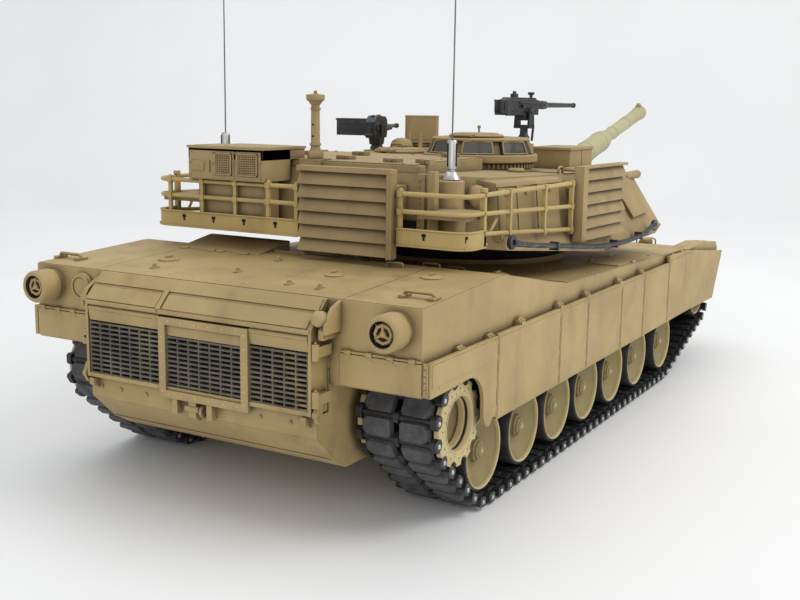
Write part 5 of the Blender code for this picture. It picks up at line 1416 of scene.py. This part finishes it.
def make_commander_gun():
    """The heavy machine gun on the cupola: mount, then the gun that tips in it."""
    x, y, z = MG_PIVOT
    kit = Kit(gun_turn(MG_PIVOT, MG_YAW))
    kit.lathe([(0, z - 9.4), (2.4, z - 9.4), (2.6, z - 14), (3.6, z - 15.5), (4.0, 164.2), (0, 164.0)],
              (x, y, 0),
              (0, 0, 1), 24)
    kit.prism([(x - 3.4, y - 5.7), (x + 3.4, y - 5.7), (x + 3.4, y + 5.7), (x - 3.4, y + 5.7)], z - 10.2,
              z - 8.0, "Z")
    for low in (-5.7, 4.1):
        kit.prism([(x - 3.3, z - 9), (x + 3.3, z - 9), (x + 2.4, z + 1.2), (x + 1.0, z + 2.6),
                   (x - 1.0, z + 2.6),
                   (x - 2.4, z + 1.2)], y + low, y + low + 1.6, "Y")
        kit.rod((x, y + low - 0.6, z), (x, y + low + 2.2, z), 1.3, sides=16)
    kit.rod((x + 4.5, y - 4.2, z - 9), (x + 3.0, y - 4.2, z - 18), 0.8, sides=10)
    kit.done("commander_gun_yoke", "commander_gun_mount", "gun_metal_black", (gun_black,), 0.2,
             ("commander_gun_mount",))

    kit = Kit(gun_turn(MG_PIVOT, MG_YAW))
    kit.box((x - 26, x + 12), (y - 3.3, y + 3.3), (z - 1.8, z + 7.6))
    kit.prism([(x - 25, z + 7.4), (x + 10.5, z + 7.4), (x + 8.5, z + 9.0), (x - 22, z + 9.0)], y - 2.9,
              y + 2.9, "Y")
    kit.box((x - 15.5, x - 10.5), (y - 1.4, y + 1.4), (z + 8.8, z + 11.2))
    kit.box((x - 14.5, x - 11.5), (y - 0.5, y + 0.5), (z + 11.0, z + 12.8))
    kit.box((x + 6.8, x + 8.2), (y - 0.8, y + 0.8), (z + 8.8, z + 12.4))
    kit.rod((x + 7.5, y - 2.0, z + 11.6), (x + 7.5, y + 2.0, z + 11.6), 0.9, sides=12)
    kit.box((x - 6, x + 6), (y - 3.5, y + 3.5), (z - 5.2, z - 1.4))
    kit.rod((x - 12, y - 3.6, z + 5.8), (x + 10, y - 3.6, z + 5.8), 0.6, sides=8)
    kit.rod((x - 9, y - 5.0, z + 3.6), (x - 9, y - 3.2, z + 3.6), 1.1, sides=14)
    kit.rod((x + 4, y - 4.2, z + 2.0), (x + 4, y - 3.2, z + 2.0), 1.5, sides=6)
    for step in (-20, -14, -2, 8):
        kit.bolt((x + step, y - 3.3, z + 0.6), (0, -1, 0), 0.6, 0.5)
        kit.bolt((x + step, y + 3.3, z + 0.6), (0, 1, 0), 0.6, 0.5)
    # Barrel jacket with cooling holes, then the barrel with its flash guard.
    kit.lathe([(0, 0), (2.7, 0), (2.7, 13.5), (2.3, 14.6), (0, 14.6)], (x + 12, y, z + 4.5), (1, 0, 0), 28)
    for k in range(4):
        for turn in range(6):
            angle = math.pi * turn / 3 + (k % 2) * math.pi / 6
            # The cooling holes are near-black discs in the shadow material: painted shade.
            kit.lathe([(0, 0.12), (0.62, 0.12), (0.7, -0.3), (0, -0.3)],
                      (x + 14.5 + 2.8 * k, y + 2.65 * math.cos(angle), z + 4.5 + 2.65 * math.sin(angle)),
                      (0, math.cos(angle), math.sin(angle)), 8, 1)
    kit.lathe([(0, 0), (1.75, 0), (1.45, 32), (1.3, 36.4), (1.75, 37.4), (1.75, 38.6), (1.0, 38.8),
               (0, 38.6)],
              (x + 26.4, y, z + 4.5), (1, 0, 0), 24)
    # Ammunition can on its tray, spade grips and a feed.
    kit.box((x - 17, x - 4), (y + 3.4, y + 11.6), (z - 2.0, z + 6.4))
    kit.box((x - 17.4, x - 3.6), (y + 3.2, y + 12.0), (z + 6.2, z + 7.5))
    kit.box((x - 16, x - 5), (y + 11.4, y + 12.0), (z + 0.2, z + 4.6))
    kit.prism([(x - 16, z - 2.4), (x - 2, z - 2.4), (x + 1, z + 2), (x - 3, z + 2)], y + 3.2, y + 5.0, "Y")
    kit.box((x - 28, x - 25.6), (y - 3.0, y + 3.0), (z - 1.0, z + 7.4))
    for step in (-2.2, 2.2):
        kit.rod((x - 30.8, y + step, z + 0.2), (x - 30.8, y + step, z + 7.0), 0.95, sides=12)
        kit.box((x - 31.4, x - 27), (y + step - 0.6, y + step + 0.6), (z + 6.2, z + 7.4))
        kit.box((x - 31.4, x - 27), (y + step - 0.6, y + step + 0.6), (z - 0.6, z + 0.6))
    kit.box((x - 29.4, x - 27.4), (y - 0.8, y + 0.8), (z + 2.6, z + 4.4))
    kit.done("commander_gun_receiver", "commander_gun", "gun_metal_black", (gun_black, shadow_black), 0.18,
             ("commander_machine_gun",))


def make_loader_gun():
    x, y = LOADER_GUN[:2]
    kit = Kit(gun_turn(LOADER_GUN, LOADER_YAW))
    kit.lathe([(0, 165.6), (3.2, 165.6), (3.6, 160), (4.4, 158.6), (4.4, 157.4), (0, 157.4)], (x, y, 0),
              (0, 0, 1), 20)
    kit.prism([(x - 4.4, 160.6), (x + 3.6, 160.6), (x + 5.8, 167.0), (x - 6.6, 167.0)], y - 3.6, y + 3.6,
              "Y")
    kit.prism([(x - 13.5, 166.0), (x - 12, 164.8), (x + 9, 164.8), (x + 11.6, 167.0), (x + 11.6, 176.4),
               (x + 8, 178.6), (x - 7, 179.2), (x - 10.5, 177.8), (x - 13.5, 175.0)], y - 3.2, y + 3.2, "Y")
    kit.box((x - 5, x + 5), (y - 5.2, y - 3.0), (165.2, 173.6))
    kit.box((x - 4, x + 6), (y + 3.0, y + 5.4), (166.0, 174.6))
    kit.rod((x + 2, y - 5.6, 170.2), (x + 2, y + 5.6, 170.2), 1.3, sides=14)
    kit.lathe([(0, 1.0), (2.6, 0.8), (3.2, 0), (3.2, -1.4), (0, -1.4)], (x - 8.6, y - 3.2, 172.4),
              (0, -1, 0), 24)
    kit.box((x - 9, x - 6), (y - 0.9, y + 0.9), (178.6, 179.5))
    kit.sweep(rounded([(x - 2, y, 178.8), (x, y, 179.3), (x + 6, y, 179.3), (x + 8, y, 178.2)], 1.5), 0.5,
              8)
    kit.lathe([(0, 0), (1.9, 0), (1.9, 9), (1.4, 10), (1.2, 27.4), (1.7, 28.2), (1.7, 30.4), (0, 30.4)],
              (x + 11.4, y, 172), (1, 0, 0), 20)
    kit.rod((x + 12, y, 168.9), (x + 30, y, 170.2), 0.7, sides=10)
    low, high = 4.4, 26.4
    kit.box((x - 4.8, x + 6.8), (y + low, y + high), (166.2, 176.2))
    kit.box((x - 5.0, x + 7.0), (y + low, y + 27), (175.8, 177.1))
    kit.box((x - 5.0, x - 4.6), (y + low + 1.4, y + high - 1.4), (167.6, 174.8))
    kit.box((x - 3.0, x + 5.0), (y + high - 0.2, y + 27), (168, 174.6))
    kit.box((x - 17, x - 13), (y - 1.0, y + 1.0), (166.4, 171.8))
    kit.rod((x - 16.4, y - 2.6, 167.0), (x - 16.4, y + 2.6, 167.0), 0.8, sides=10)
    for step in (-10, -4, 4, 9):
        kit.bolt((x + step, y - 3.2, 176.0), (0, -1, 0), 0.55, 0.4)
    kit.done("loader_gun_body", "loader_gun", "gun_metal_black", (gun_black, shadow_black), 0.2,
             ("loader_machine_gun",))


def make_viewer():
    """The panoramic viewer: a turning neck and a boxed head, its window in front and two straps behind."""
    x, y = VIEWER[0], VIEWER[1]
    kit = Kit(gun_turn((x, y, 0), VIEWER_YAW))
    kit.lathe([(0, 161.6), (9.8, 161.6), (10.6, 160.8), (10.6, 158.8), (0, 158.8)], (x, y, 0), (0, 0, 1),
              44)
    half, cut = 11.4, 2.0
    corners = [(half, half - cut), (half - cut, half), (cut - half, half), (-half, half - cut),
               (-half, cut - half), (cut - half, -half), (half - cut, -half), (half, cut - half)]
    kit.prism([(x + u * 0.985, y + v * 0.985) for u, v in corners], 161.2, 178.6, "Z")
    kit.prism([(x + u, y + v) for u, v in corners], 178.2, 179.3, "Z")
    kit.box((x - half - 0.05, x - half + 0.6), (y - 8.4, y + 8.4), (163.4, 177.0))
    kit.box((x - half - 0.1, x - half + 0.6), (y - 8.0, y + 8.0), (174.2, 175.0))
    kit.box((x + half - 0.6, x + half + 0.05), (y - 6.4, y + 6.4), (165.4, 176.0), 1)
    for v in (-7.6, 7.6):
        for z in (164.4, 170.2, 176.0):
            kit.rivet((x - half, y + v, z), (-1, 0, 0), 0.4)
    kit.done("viewer_head", "viewer", "turret_paint", (turret_paint, sight_glass), 0.3,
             ("panoramic_viewer",))

    kit = Kit()
    kit.lathe([(0, 165.0), (3.5, 164.6), (6.2, 163.0), (7.4, 160.6), (7.6, 157.5), (8.8, 156.8),
               (8.8, 150), (0, 150)],
              (250, 44.5, 0), (0, 0, 1), 36)
    for step in (-5.2, 3.4):
        kit.prism([(253.4, 158), (258.6, 158), (257.0, 168.6), (255.4, 169.4)], 38.6 + step, 39.6 + step,
                  "Y")
    kit.done("roof_dome", "turret", "turret_paint", (turret_paint,), 0.2)


def gun_line():
    centre = Vector((TRUNNION[0], 0, TRUNNION[2]))
    return (Matrix.Translation(centre) @ Matrix.Rotation(math.radians(-GUN_ELEVATION), 4, "Y")
            @ Matrix.Translation(-centre))


def make_gun():
    """Mantlet and barrel, made level and raised to the gun's rest elevation."""
    x, z = TRUNNION[0], TRUNNION[2]
    kit = Kit(gun_line())
    kit.rod((x, -21.4, z), (x, 21.4, z), 21.9, sides=72)
    kit.prism([(x - 4, z + 20), (x + 34, z + 18), (x + 44, z + 13), (x + 47, z + 8), (x + 47, z - 9),
               (x + 44, z - 13),
               (x + 34, z - 18), (x - 4, z - 20)], -21.4, 21.4, "Y")
    kit.lathe([(0, 0), (11.5, 0), (11.5, 3.0), (9.8, 5.0), (9.5, 9.5), (8.4, 12.8), (0, 12.8)],
              (x + 46.8, 0, z),
              (1, 0, 0), 56)
    for k in range(12):
        angle = math.pi * k / 6
        kit.bolt((x + 48.6, 10.6 * math.cos(angle), z + 10.6 * math.sin(angle)), (1, 0, 0), 0.5, 1.4)
    kit.lathe([(1.5, 0.6), (2.4, 0.6), (2.6, 0), (2.6, -1), (1.5, -1)], (x + 47, -15.0, z + 2.0),
              (1, 0, 0), 24)
    # A near-black disc in the shadow material: painted shade in the ring's opening.
    kit.lathe([(0, 0.1), (1.4, 0.1), (1.4, -0.6), (0, -0.6)], (x + 47, -15.0, z + 2.0), (1, 0, 0), 20, 1)
    for side in (-1, 1):
        kit.sweep(rounded([(x + 14, side * 16, z + 18.6), (x + 14, side * 16, z + 22),
                           (x + 22, side * 16, z + 21.6),
                           (x + 22, side * 16, z + 18.2)], 2.4), 0.8, 10)
        for step in (6, 20, 32):
            kit.bolt((x + step, side * 21.4, z + 10), (0, side, 0), 0.8, 0.1)
    kit.done("mantlet_shield", "gun", "turret_paint", (turret_paint, shadow_black), 0.35, ("gun_mantlet",))

    kit = Kit(gun_line())
    length = 282.0
    profile = [(0, length - 24), (3.7, length - 24), (3.7, length - 0.3), (4.2, length), (5.9, length),
               (6.2, length - 0.5), (6.2, length - 6.6), (5.5, length - 8), (5.35, 187), (6.2, 185.6),
               (7.2, 183.6),
               (8.1, 179.6), (8.4, 176), (8.4, 137), (8.0, 133.4), (7.2, 129.6), (6.0, 126.6), (5.5, 125),
               (5.5, 96), (5.65, 95.4), (5.65, 93.6), (5.5, 93), (5.5, 52), (0, 52)]
    kit.lathe(profile, (x, 0, z), (1, 0, 0), 64)
    for at, r in ((140, 8.5), (172, 8.5), (205, 5.5), (238, 5.5), (262, 5.5), (110, 5.6), (72, 5.6)):
        kit.lathe([(r - 0.4, at + 0.9), (r + 0.18, at + 0.7), (r + 0.18, at - 0.7), (r - 0.4, at - 0.9)],
                  (x, 0, z),
                  (1, 0, 0), 56)
    kit.box((x + length - 6, x + length - 1.2), (-2.1, 2.1), (z + 4.4, z + 7.6))
    kit.prism([(x + length - 5.6, z + 7.2), (x + length - 1.6, z + 7.2), (x + length - 2.2, z + 9.1),
               (x + length - 5.0, z + 9.1)], -1.4, 1.4, "Y")
    for side in (-1, 1):
        kit.bolt((x + length - 3.6, side * 2.1, z + 6.2), (0, side, 0), 0.55, 0.4)
    # A near-black disc inside the muzzle, in the shadow material: painted shade in the bore.
    kit.lathe([(0, 0.1), (3.6, 0.1), (3.6, -0.6), (0, -0.6)], (x + length - 23.4, 0, z), (1, 0, 0), 32, 1)
    kit.done("main_gun_barrel", "gun", "barrel_paint", (barrel_paint, shadow_black), 0.12, ("gun_barrel",))


def make_tow_cable():
    """A laid steel rope with a swaged eye at each end."""
    route = [Vector(p) for p in ((104, -102.6, 122.0), (120, -104.4, 119.4), (160, -106.6, 114.8),
                                 (200, -108.2, 110.4),
                                 (225, -108.8, 108.6), (260, -108.8, 107.6), (290, -108.6, 108.4),
                                 (312, -108.0, 111.6))]
    path = []
    last = len(route) - 1
    for i in range(last):
        a, b, c, d = route[max(i - 1, 0)], route[i], route[i + 1], route[min(i + 2, last)]
        for k in range(24):
            t = k / 24
            path.append(0.5 * ((2 * b) + (c - a) * t + (2 * a - 5 * b + 4 * c - d) * t ** 2
                               + (3 * b - a - 3 * c + d) * t ** 3))
    path.append(route[-1])
    kit = Kit()
    kit.sweep(path, 1.05, 10)
    strands = 5
    twist = 2 * math.pi / 9.0
    for strand in range(strands):
        turn = 2 * math.pi * strand / strands
        line = []
        travelled = 0.0
        for i, p in enumerate(path):
            along = (path[min(i + 1, len(path) - 1)] - path[max(i - 1, 0)]).normalized()
            side = along.cross(Vector((0, 0, 1))).normalized()
            up = side.cross(along)
            angle = turn + travelled * twist
            line.append(p + (side * math.cos(angle) + up * math.sin(angle)) * 0.92)
            if i < len(path) - 1:
                travelled += (path[i + 1] - p).length
        kit.sweep(line, 0.58, 6)
    for end, away in ((path[0], path[0] - path[6]), (path[-1], path[-1] - path[-7])):
        away = away.normalized()
        kit.rod(end - away * 7.0, end + away * 0.6, 1.5, 1.95, sides=18)
        centre = end + away * 2.6 - Vector((0, 0.2, 0))
        kit.lathe([(1.5, 1.1), (3.3, 1.1), (3.6, 0.6), (3.6, -0.6), (3.3, -1.1), (1.5, -1.1)],
                  (max(centre.x, 102.2), centre.y, centre.z), (0.05, 1, 0), 28)
    for x, y, z in ((150, -106.4, 115.8), (238, -108.6, 108.0), (285, -108.4, 108.2)):
        kit.box((x - 1.2, x + 1.2), (y + 3.4, y - 1.6), (z - 2.2, z + 2.2))
    kit.done("tow_rope", "turret", "gun_metal_black", (gun_black,), 0.0, ("tow_cable",))


# ---------------------------------------------------------------- camera, floor and light

CAMERA_PLACE = (-0.67435, -0.3140, 0.1885)
CAMERA_YAW = 29.81              # degrees from the model's forward direction
CAMERA_DOWN = 10.39
CAMERA_ROLL = 0.87
LENS = 48.76


def make_camera():
    yaw, down, roll = (math.radians(a) for a in (CAMERA_YAW, CAMERA_DOWN, CAMERA_ROLL))
    ahead = Vector((math.cos(yaw) * math.cos(down), math.sin(yaw) * math.cos(down), -math.sin(down)))
    right = Vector((math.sin(yaw), -math.cos(yaw), 0))
    up = right.cross(ahead)
    right, up = right * math.cos(roll) + up * math.sin(roll), up * math.cos(roll) - right * math.sin(roll)
    camera = bpy.data.objects.new("camera", bpy.data.cameras.new("camera"))
    camera.data.lens = LENS
    camera.data.clip_start = 0.01
    turn = Matrix((right, up, -ahead)).transposed().to_4x4()
    camera.matrix_world = Matrix.Translation(CAMERA_PLACE) @ turn
    bpy.context.scene.collection.objects.link(camera)
    bpy.context.scene.camera = camera


def make_stage():
    """A pale sweep: a floor that curves up into a backdrop on the camera's far side."""
    s = Shader("pale_sweep", 0.55)
    sweep_paint = s.done(s.mix(s.band(s.noise(3.0, 3.0), 0.3, 0.7), (0.86, 0.86, 0.86), (0.89, 0.89, 0.89)))
    profile = [(-4.0, 0.0), (1.1, 0.0)]
    profile += [(1.1 + 0.5 * math.sin(a), 0.5 - 0.5 * math.cos(a)) for a in
                (math.radians(6 * k) for k in range(1, 16))]
    profile.append((1.6, 4.0))
    yaw = math.radians(CAMERA_YAW)
    bm = bmesh.new()
    rows = []
    for side in (-5.0, 5.0):
        rows.append([bm.verts.new((u * math.cos(yaw) - side * math.sin(yaw),
                                   u * math.sin(yaw) + side * math.cos(yaw), z)) for u, z in profile])
    for i in range(len(profile) - 1):
        bm.faces.new((rows[0][i], rows[0][i + 1], rows[1][i + 1], rows[1][i]))
    bmesh.ops.recalc_face_normals(bm, faces=bm.faces[:])
    mesh = bpy.data.meshes.new("floor")
    bm.to_mesh(mesh)
    bm.free()
    mesh.shade_smooth()
    mesh.materials.append(sweep_paint)
    floor = bpy.data.objects.new("floor", mesh)
    bpy.context.scene.collection.objects.link(floor)


def lamp(name, place, target, size, power, colour=(1, 1, 1)):
    light = bpy.data.lights.new(name, "AREA")
    light.shape = "RECTANGLE"
    light.size = size[0]
    light.size_y = size[1]
    light.energy = power
    light.color = colour
    piece = bpy.data.objects.new(name, light)
    piece.location = place
    piece.rotation_mode = "QUATERNION"
    piece.rotation_quaternion = (Vector(target) - Vector(place)).to_track_quat("-Z", "Y")
    bpy.context.scene.collection.objects.link(piece)


def make_light():
    world = bpy.data.worlds.new("soft_daylight")
    bpy.context.scene.world = world
    world.use_nodes = True
    back = world.node_tree.nodes["Background"]
    back.inputs["Color"].default_value = (0.96, 0.98, 1.0, 1.0)
    back.inputs["Strength"].default_value = 0.66
    lamp("key", (0.35, -1.3, 1.35), (0, 0, 0.08), (1.0, 1.0), 13.0, (1.0, 0.985, 0.96))
    lamp("fill", (-1.7, -0.7, 0.8), (0, 0, 0.08), (1.6, 1.2), 4.0, (1.0, 0.99, 0.975))
    lamp("top", (0.0, 0.4, 1.9), (0.1, 0, 0), (1.8, 1.8), 10.0, (0.97, 0.985, 1.0))


def dress_cad():
    """Finishes for the CAD solids that stay as they are."""
    finishes = {"lower_hull": (hull_paint, 0.45), "upper_hull": (hull_paint, 0.45),
                # The turret ring in the shadow material: painted shadow under the turret.
                "turret_ring": (shadow_black, 0.3),
                "right_gearbox": (motor_steel, 0.3), "left_gearbox": (motor_steel, 0.3),
                "battery_pack": (battery_wrap, 0.6), "control_board": (board_green, 0.15)}
    for side in ("right", "left"):
        for i in range(1, 8):
            finishes[f"{side}_swing_arm_{i}"] = (hull_paint, 0.35)
    for name, node in frame["nodes"].items():
        paint, bevel = finishes.get(name, (hull_paint, 0.3))
        node.data.materials.clear()
        node.data.materials.append(paint)
        if not node.hide_render:
            soften(node, bevel, weld=True)


running_gear()
make_exhaust()
make_rear_plate()
make_tail_lights()
make_deck()
for side in (-1, 1):
    make_skirt(side)
make_turret_shell()
make_rack()
make_equipment_box()
make_mast()
make_cupola()
make_loader_hatch()
make_commander_gun()
make_loader_gun()
make_viewer()
make_gun()
make_tow_cable()
dress_cad()
make_camera()
make_stage()
make_light()
bpy.context.scene.view_settings.view_transform = "Standard"
